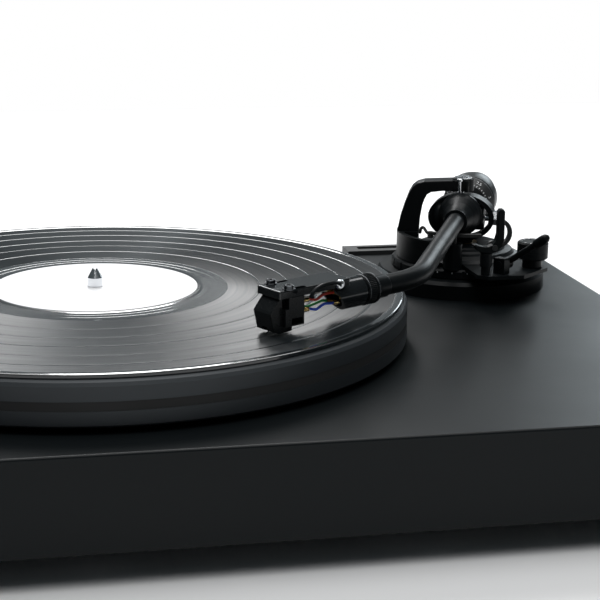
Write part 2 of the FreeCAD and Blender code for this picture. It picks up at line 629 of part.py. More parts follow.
def make_tiers():
    """The stepped round top of the column."""
    return turned([("yaw_bush_bore + 5", "platform_low"), ("33", "platform_low"), ("33", "platform_low + 2.2"),
                   ("30", "platform_low + 3.6"), ("28.5", "platform_low + 5.4"), ("25", "platform_low + 6"),
                   ("24", "platform_low + 7.2"), ("20.5", "platform_low + 7.6"),
                   ("20", "platform_low + %g" % TIER_HEIGHT),
                   ("yaw_bush_bore + 5", "platform_low + %g" % TIER_HEIGHT)])


def make_arm_platform():
    """The tiers with wings out to the armrest, lever, lift and anti-skating dial."""
    wing = plate([("-9", "-30"), ("-8.5", "-57"), ("-4", "-62"), ("16", "-62"), ("35", "-46"),
                  ("35", "-36"), ("24", "-20")], "wing_top - platform_low", (0, 0, mm.platform_low))
    bracket = make_lever_bracket()
    bracket.Placement = Placement(Vector(*LEVER, 0), LEVER_TURN)
    body = fuse(make_tiers(), wing, cylinder(5.2, 14, (*LIFT, mm.platform_low)), make_skating_base(), bracket)
    return cut(body, cylinder(2.0, 4, (*ARMREST, mm.platform_low)),
               cylinder(2.04, 14, (*LIFT, mm.platform_low + 1.9)))


def make_bearing_arch():
    """A curved wall on the platform's left, whose arm arches over to the pivot's axis."""
    wall = cut(cylinder("arch_radius", 14.3, (0, 0, mm.platform_low)),
               cylinder("arch_radius - 3.2", 14.3, (0, 0, mm.platform_low)))
    sector = plate([("0", "0"), ("45", "-38"), ("60", "0"), ("48", "36"), ("20.8", "56.3")],
                   20, (0, 0, mm.platform_low - 1), ARCH_TURN)
    foot_block = plate([("24", "-8"), ("35.2", "-8"), ("35.2", "8"), ("24", "8")],
                       "platform_low + 14.3 - wing_top", (0, 0, mm.wing_top), ARCH_TURN)
    reach = [("36.3", "84.5"), ("34.7", "93.5"), ("32.6", "100.4"), ("30.2", "107"), ("28.2", "110.6"),
             ("25.4", "112.9"), ("21.5", "114.1"), ("6", "115"), ("0", "115.2"), ("0", "108.9"),
             ("11", "108.9"), ("17.6", "108"), ("19.9", "106.6"), ("21.2", "104"), ("22.3", "100.7"),
             ("23.6", "92.5"), ("24", "84.5")]
    limb = plate(reach, 12, (0, 0, 0), None, "XZ_Plane", True)
    soft_limb = rounded(limb, 0.8, lambda edge: edge.BoundBox.YLength < 0.01)
    soft_limb.Placement = Placement(Vector(), ARCH_TURN)
    boss = cylinder(6.2, 6.6, (0, 0, 108.9))
    arch = cut(fuse(common(wall, sector), foot_block, soft_limb, boss), cylinder(3.0, 12, (0, 0, 106)))
    return cut(arch, make_tiers())


def make_upper_bearing():
    screw = fuse(cylinder(3.0, 7.4, (0, 0, 109.6)), cone(0.8, 3.0, 1.2, (0, 0, 108.4)),
                 cylinder(0.8, 2.2, (0, 0, 106.3)), cylinder(4.8, 0.9, (0, 0, 115.5)))
    return cut(screw, box(0.9, 6, 1.2, (0, 0), 116.0))


def make_cradle():
    """An open hook seen along the arm: u runs across it and z up."""
    hook = [("-7.6", "89.9"), ("-6.2", "87.4"), ("-3", "85.4"), ("1", "85"), ("5", "86"), ("8.2", "89"),
            ("9", "92.5"), ("8.9", "107.6"), ("8", "108.8"), ("6.3", "108.8"), ("5.3", "107.6"),
            ("5.3", "95.5"), ("4.4", "92"), ("2.8", "89.8"), ("0.4", "88.8"), ("-2.4", "88.9"),
            ("-4.6", "89.5"), ("-6.4", "90.1")]
    body = plate(hook, 5, (0, 0, 0), None, "XZ_Plane", True)
    soft = rounded(body, 0.6, lambda edge: edge.BoundBox.YLength < 0.01)
    return cut(soft, cylinder(1.55, 12, (4.0, -6, CLIP_PIN_Z), "y"))


def make_armrest_post():
    return fuse(cylinder(2.0, 2.0, (0, 0, mm.platform_low)), cylinder(2.5, 4.6, (0, 0, mm.wing_top)),
                cylinder(3.2, 7.2, (0, 0, mm.wing_top + 4.6)))


CRADLE_TURN = Rotation(Vector(0, 0, 1), -4.0)
CRADLE_FRAME = PIVOT_FRAME.multiply(Placement(Vector(*ARMREST, 0), CRADLE_TURN))


def make_clip():
    """A C-shaped keeper that swings over the tube; its arc is set open about its pin."""
    ring = tube(8.2, 6.1, 2.6, (6.3, 2.7, 95.0), "y")
    keep = plate([("2.0", "85.5"), ("6.3", "95"), ("8.6", "104.5"), ("18", "104.5"), ("18", "84")],
                 4, (0, 6, 0), None, "XZ_Plane")
    tab = cylinder(1.5, 3.8, (8.2, 2.7, 101.7), "y")
    eye = cylinder(2.6, 2.6, (4.0, 2.7, CLIP_PIN_Z), "y")
    pin = cylinder(1.5, 6.4, (4.0, -3.2, CLIP_PIN_Z), "y")
    return fuse(common(ring, keep), tab, eye, pin)


def make_lever_bracket():
    block = box(5, 7, 8.6, (0, 0), mm.wing_top)
    soft = rounded(block, 1.0, lambda edge: edge.BoundBox.ZMin > mm.wing_top + 1)
    return cut(soft, cylinder(2.04, 20, (-10, 0, LEVER_AXIS_Z), "x"))


LEVER_FRAME = PIVOT_FRAME.multiply(Placement(Vector(*LEVER, 0), LEVER_TURN))


def make_cue_lever():
    """A cross shaft with a rod that rises forwards from its end to a round tip."""
    shaft = cylinder(2.0, 9, (-3.2, 0, LEVER_AXIS_Z), "x")
    hub = cylinder(3.2, 3.8, (2.6, 0, LEVER_AXIS_Z), "x")
    rod = turned([("0", "-0.6"), ("1.7", "-0.6"), ("1.7", "21"), ("2.5", "22.5"), ("2.6", "28"),
                  ("2.2", "30"), ("1.3", "31.2"), ("0", "31.6")])
    rod.Placement = Placement(Vector(4.5, 0, LEVER_AXIS_Z), Rotation(Vector(1, 0, 0), 55.0))
    return fuse(shaft, hub, rod)


def make_lift_bar():
    """A bar curved about the pivot, on a pin: it holds the tube up at any point of its swing."""
    bar = cut(cylinder(36.2, 1.7, (0, 0, 89.0)), cylinder(33.8, 1.7, (0, 0, 89.0)))
    sector = plate([("0", "0"), ("-44.6", "-40.1"), ("-30", "-56"), ("0", "-60")], 4, (0, 0, 88))
    pin = cylinder(2.0, 14, (*LIFT, 75.2))
    curl = cylinder(1.6, 3.4, (*around((0, 0), 35.0, (-136.5,))[0], 87.3))
    return fuse(common(bar, sector), pin, curl)


def make_skating_dial():
    body = turned([("0", "dial_low"), ("dial_radius", "dial_low"), ("dial_radius", "dial_top - 0.8"),
                   ("dial_radius - 0.8", "dial_top"), ("0", "dial_top")], (*SKATING, 0))
    mark = box(0.7, 4, 1, (SKATING[0], SKATING[1] + 5), mm.dial_top - 0.5)
    stem = cylinder(2.0, 5, (*SKATING, mm.dial_low - 4.5))
    return cut(fuse(body, stem), mark)


def make_skating_base():
    return turned([("2.05", "wing_top + 0.5"), ("2.05", "dial_low - 0.1"), ("dial_radius", "dial_low - 0.1"),
                   ("dial_radius", "dial_low - 3"), ("dial_radius - 1", "dial_low - 3.8"),
                   ("5.4", "dial_low - 3.8"), ("5.4", "wing_top"), ("0", "wing_top"),
                   ("0", "wing_top + 0.5")], (*SKATING, 0))


subpart("arm_base", make_arm_base(), PIVOT_FRAME)
subpart("arm_base_nut", tube(28, "spigot_radius", 5, (0, 0, DECK_LOW - 5)), PIVOT_FRAME)
subpart("height_ring", make_height_ring(), PIVOT_FRAME)
subpart("arm_column", tube("column_radius", "column_bore", "platform_low - column_low",
                           (0, 0, mm.column_low)), PIVOT_FRAME)
subpart("arm_platform", make_arm_platform(), PIVOT_FRAME)
subpart("yaw_bush", tube("yaw_bush_bore + 5", "yaw_bush_bore", TIER_HEIGHT + 8, (0, 0, mm.platform_low - 8)),
        PIVOT_FRAME)
subpart("bearing_arch", make_bearing_arch(), PIVOT_FRAME)
subpart("upper_bearing_screw", make_upper_bearing(), PIVOT_FRAME)
subpart("armrest", group([make_armrest_post(), make_cradle()]), CRADLE_FRAME)
subpart("armrest_clip", make_clip(), CRADLE_FRAME)
subpart("cue_lever", make_cue_lever(), LEVER_FRAME)
subpart("lift_bar", make_lift_bar(), PIVOT_FRAME)
subpart("anti_skating_dial", make_skating_dial(), PIVOT_FRAME)


# ---------------------------------------------------------------- gimbal

YAW_FRAME = Placement(Vector(*PIVOT, mm.pivot_z), Rotation(Vector(0, 0, 1), mm.arm_heading))
ARM_FRAME = YAW_FRAME.multiply(Placement(Vector(), Rotation(Vector(0, 1, 0), mm.arm_droop)))
BEND_FRAME = Placement(Vector(mm.bend_distance, 0, 0), Rotation(Vector(0, 0, 1), -mm.bend_angle))
HEAD_FRAME = ARM_FRAME.multiply(BEND_FRAME)
PITCH_Z = -mm.hoop_drop
HOOP_HIGH = PITCH_Z + mm.hoop_half_height
HOOP_LOW = PITCH_Z - mm.hoop_half_height
NUT_START = 18.0
BARREL_END = 12.6
PITCH_IN_ARM = ARM_FRAME.inverse().multVec(YAW_FRAME.multVec(Vector(0, 0, PITCH_Z)))


def oval(half_width, half_height, length, start):
    """An elliptical bar along x: wide in y and lower in z."""
    rod = sized(doc.addObject("Part::Ellipse", "Oval"), MajorRadius=half_width, MinorRadius=half_height)
    bar = doc.addObject("Part::Extrusion", "OvalBar")
    bar.Base = rod
    bar.DirMode = "Custom"
    bar.Dir = Vector(0, 0, 1)
    bar.setExpression("LengthFwd", linked(length))
    bar.Solid = True
    across = Rotation(Vector(0, 1, 0), Vector(0, 0, 1), Vector(1, 0, 0), "XYZ")
    bar.Placement = Placement(Vector(start, 0, PITCH_Z), across)
    return bar


def make_gimbal():
    outside = oval("hoop_half_width", "hoop_half_height", "hoop_depth", -5)
    inside = oval("hoop_half_width - hoop_wall_side", "hoop_half_height - hoop_wall_top", "hoop_depth + 2", -6)
    hoop = cut(outside, inside)
    yaw_shaft = cylinder("yaw_shaft_radius", HOOP_LOW + 35.5, (0, 0, -34.7))
    cup = cylinder(0.84, 3, (0, 0, HOOP_HIGH - 1.2))
    flat = box(12, 9, 2, (0, 0), HOOP_HIGH - 0.45)
    side_holes = [cylinder(2.0, 12, (0, y, PITCH_Z), "y") for y in (-24, 12)]
    shoulder = cylinder(6.5, 1.7, (0, 0, mm.platform_low + TIER_HEIGHT + 0.1 - mm.pivot_z))
    body = cut(fuse(hoop, yaw_shaft, shoulder), flat)
    return cut(cut(body, cup, *side_holes), hexagon(4.5, 4, NUT_START - 0.1))


def pitch_nut():
    """Locks the adjustable screw on the outer side."""
    return cut(hexagon(4.4, 2.6, NUT_START), cylinder(2.0, 3, (0, NUT_START - 0.2, PITCH_Z), "y"))


def pitch_screw(inner, outer):
    """A screw through the hoop's side whose pointed end carries the housing."""
    side = math.copysign(1, outer)
    tip = inner - side * 2.4
    return fuse(cylinder(2.0, abs(outer - inner), (0, min(inner, outer), PITCH_Z), "y"),
                cylinder(0.8, 2.8, (0, min(tip, tip + side * 2.8), PITCH_Z), "y"))


def hexagon(across_half, height, start):
    """A hexagonal nut along y, from y=start."""
    nut = sized(doc.addObject("Part::Prism", "Hexagon"), Circumradius=across_half, Height=height)
    nut.Polygon = 6
    nut.Placement = Placement(Vector(0, start, PITCH_Z), AXIS_TURNS["y"])
    return nut


subpart("gimbal_ring", make_gimbal(), YAW_FRAME)
subpart("pitch_pivot_screws", group([pitch_screw(BARREL_END + 0.6, 21.2),
                                     pitch_screw(-BARREL_END - 0.6, -19.0)]), YAW_FRAME)
subpart("pitch_lock_nut", pitch_nut(), YAW_FRAME)


# ---------------------------------------------------------------- tonearm

def make_pivot_housing():
    """A bell round the tube's end on a cross barrel that turns on the two pitch screws."""
    bell = turned([("tube_radius", "6.3"), ("bell_radius - 1", "6.3"), ("bell_radius", "7.3"),
                   ("bell_radius", "9"), ("bell_radius - 1.2", "12.5"), ("8.6", "17"), ("7", "22.5"),
                   ("6.4", "25.5"), ("6.4", "27.5"), ("tube_radius", "27.5")], (0, 0, 0), "x")
    core = cylinder("housing_radius", 16, (-9, 0, 0), "x")
    barrel = turned([("0", -BARREL_END), ("5.2", -BARREL_END), ("7.2", 2.2 - BARREL_END),
                     ("7.2", BARREL_END - 2.2), ("5.2", BARREL_END), ("0", BARREL_END)], PITCH_IN_ARM, "y")
    socket = cylinder("tube_radius", 30, (0, 0, 0), "x")
    cups = [cylinder(0.84, 3, (PITCH_IN_ARM.x, y, PITCH_IN_ARM.z), "y")
            for y in (-BARREL_END - 0.8, BARREL_END - 2.2)]
    stub = fuse(cylinder("stub_radius", "stub_length - 8", (-mm.stub_length, 0, 0), "x"),
                cylinder("stub_radius + 1.2", 3, (-12, 0, 0), "x"))
    return cut(fuse(bell, core, barrel, stub), socket, *cups)


def make_arm_tube():
    """A thin tube: a straight run, a bend to the right and a short front run."""
    tangent = mm.bend_radius * math.tan(math.radians(mm.bend_angle / 2))
    first = mm.bend_distance - tangent
    turn = math.radians(mm.bend_angle)
    centre = Vector(first, -mm.bend_radius, 0)
    middle = centre + Vector(math.sin(turn / 2), math.cos(turn / 2), 0) * mm.bend_radius
    bent = centre + Vector(math.sin(turn), math.cos(turn), 0) * mm.bend_radius
    ahead = Vector(math.cos(turn), -math.sin(turn), 0)
    end = bent + ahead * (mm.socket_back + 2 - tangent)
    path = Part.Wire([Part.LineSegment(Vector(0.5, 0, 0), Vector(first, 0, 0)).toShape(),
                      Part.Arc(Vector(first, 0, 0), middle, bent).toShape(),
                      Part.LineSegment(bent, end).toShape()])
    solids = []
    for radius in (mm.tube_radius, mm.tube_bore):
        ring = Part.Wire([Part.Circle(Vector(0.5, 0, 0), Vector(1, 0, 0), radius).toShape()])
        solids.append(path.makePipeShell([ring], True, False))
    tube_shape = doc.addObject("Part::Feature", "ArmTube")
    tube_shape.Shape = solids[0].cut(solids[1])
    return tube_shape


def make_arm_socket():
    return cut(tube("socket_radius", "tube_radius", "socket_front - socket_back",
                    (mm.socket_back, 0, 0), "x"), cylinder(0.6, 4, (33, 3, 0), "y"))


def in_bend_frame(item):
    """Move a piece from the headshell's frame into the tonearm's."""
    item.Placement = BEND_FRAME.multiply(item.Placement)
    return item


def make_counterweight():
    length = "weight_front - weight_back"
    return turned([("sleeve_radius + 0.05", "0"), ("11", "0"), ("12.2", "1.2"), ("12.6", "3"),
                   ("weight_radius - 0.6", "14.5"), ("weight_radius", "16"), ("weight_radius", length + " - 1"),
                   ("weight_radius - 0.6", length + " - 0.2"), ("weight_radius - 1.4", length),
                   ("sleeve_radius + 0.05", length)],
                  (mm.weight_back, 0, 0), "x")


subpart("pivot_housing", make_pivot_housing(), ARM_FRAME)
subpart("arm_tube", group([make_arm_tube(), in_bend_frame(make_arm_socket())]), ARM_FRAME)
subpart("counterweight_sleeve", tube("sleeve_radius", "stub_radius + 0.05", "dial_front - weight_back - 0.4",
                                     (mm.weight_back, 0, 0), "x"), ARM_FRAME)
subpart("counterweight", make_counterweight(), ARM_FRAME)
subpart("tracking_force_dial", turned([("sleeve_radius + 0.05", "0"), ("weight_radius - 0.4", "0"),
                                       ("weight_radius - 0.4", "1.2"), ("10.6", "6.4"),
                                       ("sleeve_radius + 0.05", "6.4")],
                                      (mm.weight_front + 0.1, 0, 0), "x"), ARM_FRAME)


# ---------------------------------------------------------------- headshell and cartridge

def make_collar():
    return turned([("socket_radius + 0.05", "0"), ("collar_radius - 0.6", "0"), ("collar_radius", "0.6"),
                   ("collar_radius", "2"), ("collar_radius - 0.5", "2.3"), ("collar_radius", "2.6"),
                   ("collar_radius", "4.6"), ("collar_radius - 0.5", "4.9"), ("collar_radius", "5.2"),
                   ("collar_radius", "7.6"), ("collar_radius - 0.4", "8"), ("socket_radius + 0.05", "8")],
                  (mm.collar_back, 0, 0), "x")


def make_headshell():
    """A slotted plate in front of an open barrel that plugs into the tube's socket."""
    barrel = cylinder("barrel_radius", "barrel_front - socket_front - 0.1", (mm.socket_front + 0.1, 0, 0), "x")
    plug = cylinder("tube_radius - 0.02", 9, (mm.socket_front - 8, 0, 0), "x")
    top = box("plate_front - plate_back", "plate_half_width * 2", "plate_top - plate_low",
              ((mm.plate_front + mm.plate_back) / 2, 0), mm.plate_low)
    shell_plate = rounded(top, 0.7, lambda edge: edge.BoundBox.ZMin > mm.plate_low + 0.1
                          or edge.BoundBox.ZLength > 1)
    hollow = cylinder("barrel_radius - 1.6", 20, (mm.socket_front + 7, 0, 0), "x")
    ramp = plate([("48", "-8"), ("58.2", "5.7"), ("70", "5.7"), ("70", "-8")], 20, (0, 0, 0), None,
                 "XZ_Plane", True)
    slots = [fuse(box(8, 2.7, 6, (80.1, side * mm.screw_y), mm.plate_low - 1),
                  cylinder(1.35, 6, (84.1, side * mm.screw_y, mm.plate_low - 1)),
                  cylinder(1.35, 6, (76.1, side * mm.screw_y, mm.plate_low - 1))) for side in (-1, 1)]
    lift_hole = cylinder(1.0, 6, (56.5, mm.plate_half_width - 5.5, 7.6), "y")
    return cut(cut(fuse(cut(barrel, ramp), plug, shell_plate), hollow), lift_hole, *slots)


def make_finger_lift():
    """A thin bar that leaves the plate's side and curls forward for a fingertip."""
    route = [Vector(56.5, 8.6, 7.6), Vector(60.0, 11.4, 9.6), Vector(71.0, 13.4, 10.4), Vector(76.2, 13.8, 8.6),
             Vector(77.6, 13.8, 6.2)]
    bars = []
    for near, far in zip(route, route[1:]):
        run = far - near
        rod = cylinder(0.9, run.Length, (0, 0, 0))
        rod.Placement = Placement(near, Rotation(Vector(0, 0, 1), run))
        bars += [rod, ball(0.9, tuple(far))]
    tab = cylinder(2.4, 1.0, (56.5, 8.05, 7.6), "y")
    return fuse(tab, *bars)


def make_cartridge():
    """The body under the plate, with a window through its low rear corner."""
    body = box("cartridge_front - cartridge_back", "cartridge_half_width * 2", "plate_low - cartridge_low",
               ((mm.cartridge_front + mm.cartridge_back) / 2, 0), mm.cartridge_low)
    window = box(6.2, 20, 2.9, (mm.cartridge_back + 3.9, 0), -6.5)
    ears = [cylinder(1.3, 8, (mm.screw_x, side * mm.screw_y, -1)) for side in (-1, 1)]
    pins = [cylinder(0.62, 1.75, (mm.cartridge_back - 1, y, z), "x") for y, z in PIN_PLACES]
    step = box(4, 20, 5, (mm.cartridge_front, 0), 0.9)
    return cut(cut(body, window, step), *ears, *pins)


def make_stylus_holder():
    nose = plate([("cartridge_front + 0.05", "-7"), ("82", "-7"), ("82", "-9.6"), ("89.4", "-10.2"), ("92.2", "-9"),
                  ("94.2", "-0.6"), ("93.4", "0.6"), ("89.2", "5.4"), ("cartridge_front + 0.05", "5.4")], 12,
                 (0, 0, 0), None, "XZ_Plane", True)
    relief = box(6, 3.4, 6, (90.2, 0), -13.4)
    soft = rounded(nose, 0.5, lambda edge: edge.BoundBox.YLength < 0.01 and edge.BoundBox.XMin > 87.9)
    return cut(soft, relief)


PIN_PLACES = [(-2.6, -2.8), (2.6, -2.8), (-2.6, 1.6), (2.6, 1.6)]
TERMINAL_PLACES = [(-2.4, -2.4), (2.4, -2.4), (-2.4, 2.4), (2.4, 2.4)]


def make_cantilever():
    root, tip = Vector(87.3, 0, -8.6), Vector(mm.stylus_x, 0, mm.stylus_low + 0.5)
    rod = cylinder(0.25, (tip - root).Length, (0, 0, 0))
    rod.Placement = Placement(root, Rotation(Vector(0, 0, 1), tip - root))
    return fuse(rod, cone(0.05, 0.25, 0.75, (mm.stylus_x, 0, mm.stylus_low)))


def make_lead_wire(pin, terminal):
    """A short insulated lead from a cartridge pin to a headshell terminal, with soft bends."""
    start = Vector(mm.cartridge_back - 6.6, pin[0], pin[1])
    end = Vector(mm.socket_front + 16.6, terminal[0], terminal[1])
    sag = Vector(0, 0, 1.2 if pin[1] < 0 else 0.6)
    points = [start, start - Vector(1.4, 0, 0), start - Vector(4.6, 0, 0) - sag,
              end + Vector(4.6, 0, 0) - sag, end + Vector(1.4, 0, 0), end]
    edges = []
    near = start
    for previous, corner, following in zip(points, points[1:], points[2:]):
        before = (previous - corner).normalize()
        after = (following - corner).normalize()
        trim = 0.42 * min(previous.distanceToPoint(corner), following.distanceToPoint(corner))
        half = before.getAngle(after) / 2
        inward = (before + after).normalize()
        centre = corner + inward * (trim / math.cos(half))
        first, last = corner + before * trim, corner + after * trim
        middle = centre - inward * (trim * math.tan(half))
        edges.append(Part.LineSegment(near, first).toShape())
        edges.append(Part.Arc(first, middle, last).toShape())
        near = last
    edges.append(Part.LineSegment(near, end).toShape())
    ring = Part.Wire([Part.Circle(start, Vector(-1, 0, 0), 0.5).toShape()])
    lead = doc.addObject("Part::Feature", "Lead")
    lead.Shape = Part.Wire(edges).makePipeShell([ring], True, False)
    return lead


subpart("locking_collar", make_collar(), HEAD_FRAME)
subpart("headshell", make_headshell(), HEAD_FRAME)
subpart("finger_lift", make_finger_lift(), HEAD_FRAME)
subpart("headshell_screws", repeated(
    lambda side: fuse(cylinder(2.1, 1.5, (mm.screw_x, side * mm.screw_y, mm.plate_top)),
                      cylinder(1.25, 9, (mm.screw_x, side * mm.screw_y, mm.plate_top - 9))),
    [(-1,), (1,)]), HEAD_FRAME)
subpart("cartridge", make_cartridge(), HEAD_FRAME)
subpart("stylus", group([make_stylus_holder(), make_cantilever()]), HEAD_FRAME)
subpart("signal_pins", group(
    [cylinder(0.6, 7.3, (mm.cartridge_back - 6.6, y, z), "x") for y, z in PIN_PLACES]
    + [cylinder(0.6, 9.5, (mm.socket_front + 7.1, y, z), "x") for y, z in TERMINAL_PLACES]), HEAD_FRAME)
subpart("lead_wires", group([make_lead_wire(*ends) for ends in zip(PIN_PLACES, TERMINAL_PLACES)]), HEAD_FRAME)


# ---------------------------------------------------------------- check and export

doc.recompute()
for item in doc.Objects:
    if "Invalid" in item.State or "Error" in item.State:
        raise RuntimeError("%s (%s) failed: %s" % (item.Name, item.Label, item.State))
for name, item in SUBPARTS.items():
    if item.Shape.isNull() or not item.Shape.isValid() or not item.Shape.Solids:
        raise RuntimeError("%s has no valid solid" % name)

os.makedirs("parts", exist_ok=True)
for name, item in SUBPARTS.items():
    item.Shape.exportStep("parts/%s.step" % name)
    bounds = item.Shape.BoundBox
    print("%-24s solids %d  volume %10.1f  x %.1f..%.1f  y %.1f..%.1f  z %.1f..%.1f" % (
        name, len(item.Shape.Solids), item.Shape.Volume, bounds.XMin, bounds.XMax,
        bounds.YMin, bounds.YMax, bounds.ZMin, bounds.ZMax))
print(len(SUBPARTS), "sub-parts")
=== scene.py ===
"""A studio view of the record player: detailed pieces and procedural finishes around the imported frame."""
import json
import math

import bmesh
import bpy
from mathutils import Matrix, Vector


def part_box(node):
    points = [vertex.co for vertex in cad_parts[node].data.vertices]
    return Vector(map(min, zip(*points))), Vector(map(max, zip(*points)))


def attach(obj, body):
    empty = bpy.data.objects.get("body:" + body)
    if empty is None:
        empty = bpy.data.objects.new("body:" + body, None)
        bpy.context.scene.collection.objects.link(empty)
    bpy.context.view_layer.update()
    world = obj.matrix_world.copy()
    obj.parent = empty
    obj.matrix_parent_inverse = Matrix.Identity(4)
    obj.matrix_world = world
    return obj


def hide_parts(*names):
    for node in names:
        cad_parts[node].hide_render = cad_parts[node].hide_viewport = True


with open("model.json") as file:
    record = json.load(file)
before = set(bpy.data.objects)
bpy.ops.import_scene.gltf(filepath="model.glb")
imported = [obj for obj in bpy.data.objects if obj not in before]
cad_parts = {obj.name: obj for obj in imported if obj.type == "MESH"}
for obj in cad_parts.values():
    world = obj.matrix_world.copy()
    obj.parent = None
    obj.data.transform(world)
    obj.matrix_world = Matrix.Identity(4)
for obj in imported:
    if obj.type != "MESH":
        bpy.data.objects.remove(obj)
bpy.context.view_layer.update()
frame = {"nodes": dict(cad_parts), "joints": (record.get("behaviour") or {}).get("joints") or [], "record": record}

MM = 0.001
BODY_OF = {node: body for body, nodes in frame["record"]["behaviour"]["bodies"].items() for node in nodes}
SLOT_OF = {part["node"]: part["material_slot"] for part in frame["record"]["subparts"]}


# ---------------------------------------------------------------- places, from the frame

def low(node):
    return Vector(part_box(node)[0])


def high(node):
    return Vector(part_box(node)[1])


def centre(node):
    return (low(node) + high(node)) / 2


def joint(name):
    found = next(j for j in frame["joints"] if j["name"] == name)
    return Vector(found.get("pos_m", (0, 0, 0))), Vector(found["axis"]).normalized()


def axes_at(origin, x, y):
    """A frame with its x and y axes given, as a matrix."""
    z = x.cross(y)
    return Matrix((
        (x.x, y.x, z.x, origin.x), (x.y, y.y, z.y, origin.y), (x.z, y.z, z.z, origin.z), (0, 0, 0, 1)))


def upright(place, z=0.0):
    return Matrix.Translation((place.x, place.y, z))


SPINDLE = joint("platter_spin")[0]
PIVOT = joint("arm_yaw")[0]
ARM_X = -joint("weight_slide")[1]
ARM_Y = -joint("arm_pitch")[1]
ARM = axes_at(PIVOT, ARM_X, ARM_Y)
COLLAR, HEAD_X = joint("collar_turn")
COLLAR_FORWARD = 33.5 * MM
HEAD_Y = ARM.col[2].to_3d().cross(HEAD_X)
HEAD = axes_at(COLLAR - HEAD_X * COLLAR_FORWARD, HEAD_X, HEAD_Y)
ARM_Z = ARM_X.cross(ARM_Y)
HEAD_Z = HEAD_X.cross(HEAD_Y)
ARM_TURNED = axes_at(PIVOT, ARM_Y, ARM_Z)
HEAD_TURNED = axes_at(HEAD.to_translation(), HEAD_Y, HEAD_Z)
DECK_TOP = high("plinth").z
MIDDLE = Vector((SPINDLE.x, SPINDLE.y, DECK_TOP))


# ---------------------------------------------------------------- finishes

def new_material(name):
    material = bpy.data.materials.new(name)
    material.use_nodes = True
    tree = material.node_tree
    return material, tree, tree.nodes["Principled BSDF"]


def add(tree, kind, **settings):
    """A shader node, with its attributes and named input values."""
    node = tree.nodes.new(kind)
    for key, value in settings.items():
        if key in node.inputs:
            node.inputs[key].default_value = value
        else:
            setattr(node, key, value)
    return node


def spread(tree, source, low_value, high_value, start=0.3, end=0.7):
    """Map a 0..1 value to another range."""
    mapped = add(tree, "ShaderNodeMapRange", **{
        "From Min": start, "From Max": end, "To Min": low_value, "To Max": high_value})
    tree.links.new(source, mapped.inputs["Value"])
    return mapped.outputs["Result"]


def blended(tree, factor, first, second):
    mix = add(tree, "ShaderNodeMix", data_type="RGBA")
    mix.inputs[6].default_value = (*first, 1)
    mix.inputs[7].default_value = (*second, 1)
    tree.links.new(factor, mix.inputs[0])
    return mix.outputs[2]


def surface(name, dark, light, rough, drift=25.0, grain=1400.0, bump=0.04, **constants):
    """A finish whose colour and gloss drift slowly, with a fine grain in its bump."""
    material, tree, shader = new_material(name)
    for key, value in constants.items():
        shader.inputs[key.replace("_", " ")].default_value = value
    place = add(tree, "ShaderNodeTexCoord").outputs["Object"]
    slow = add(tree, "ShaderNodeTexNoise", Scale=drift, Detail=5.0)
    fine = add(tree, "ShaderNodeTexNoise", Scale=grain, Detail=3.0)
    for noise in (slow, fine):
        tree.links.new(place, noise.inputs["Vector"])
    tree.links.new(blended(tree, slow.outputs[0], dark, light), shader.inputs["Base Color"])
    tree.links.new(spread(tree, slow.outputs[0], *rough), shader.inputs["Roughness"])
    relief = add(tree, "ShaderNodeBump", Strength=bump, Distance=0.0002)
    tree.links.new(fine.outputs[0], relief.inputs["Height"])
    tree.links.new(relief.outputs["Normal"], shader.inputs["Normal"])
    return material


TRACK_GAPS = (136.5, 123.0, 108.5, 95.0, 80.5)
GROOVES = (64.4, 146.6)


def smooth_zones(tree, radius):
    """1 on the rim, the run-out and the gaps between tracks, and 0 on the grooves."""
    edges = [(0.0, 1), (GROOVES[0], 0)]
    for gap in sorted(TRACK_GAPS):
        edges += [(gap - 0.4, 1), (gap + 0.4, 0)]
    edges.append((GROOVES[1], 1))
    ramp = add(tree, "ShaderNodeValToRGB")
    ramp.color_ramp.interpolation = "CONSTANT"
    stops = ramp.color_ramp.elements
    while len(stops) < len(edges):
        stops.new(0.5)
    for stop, (reach, level) in zip(stops, edges):
        stop.position = reach / 160.0
        stop.color = (level, level, level, 1)
    scaled = add(tree, "ShaderNodeMath", operation="MULTIPLY")
    scaled.inputs[1].default_value = 1 / 0.160
    tree.links.new(radius, scaled.inputs[0])
    tree.links.new(scaled.outputs[0], ramp.inputs[0])
    return ramp.outputs[0]


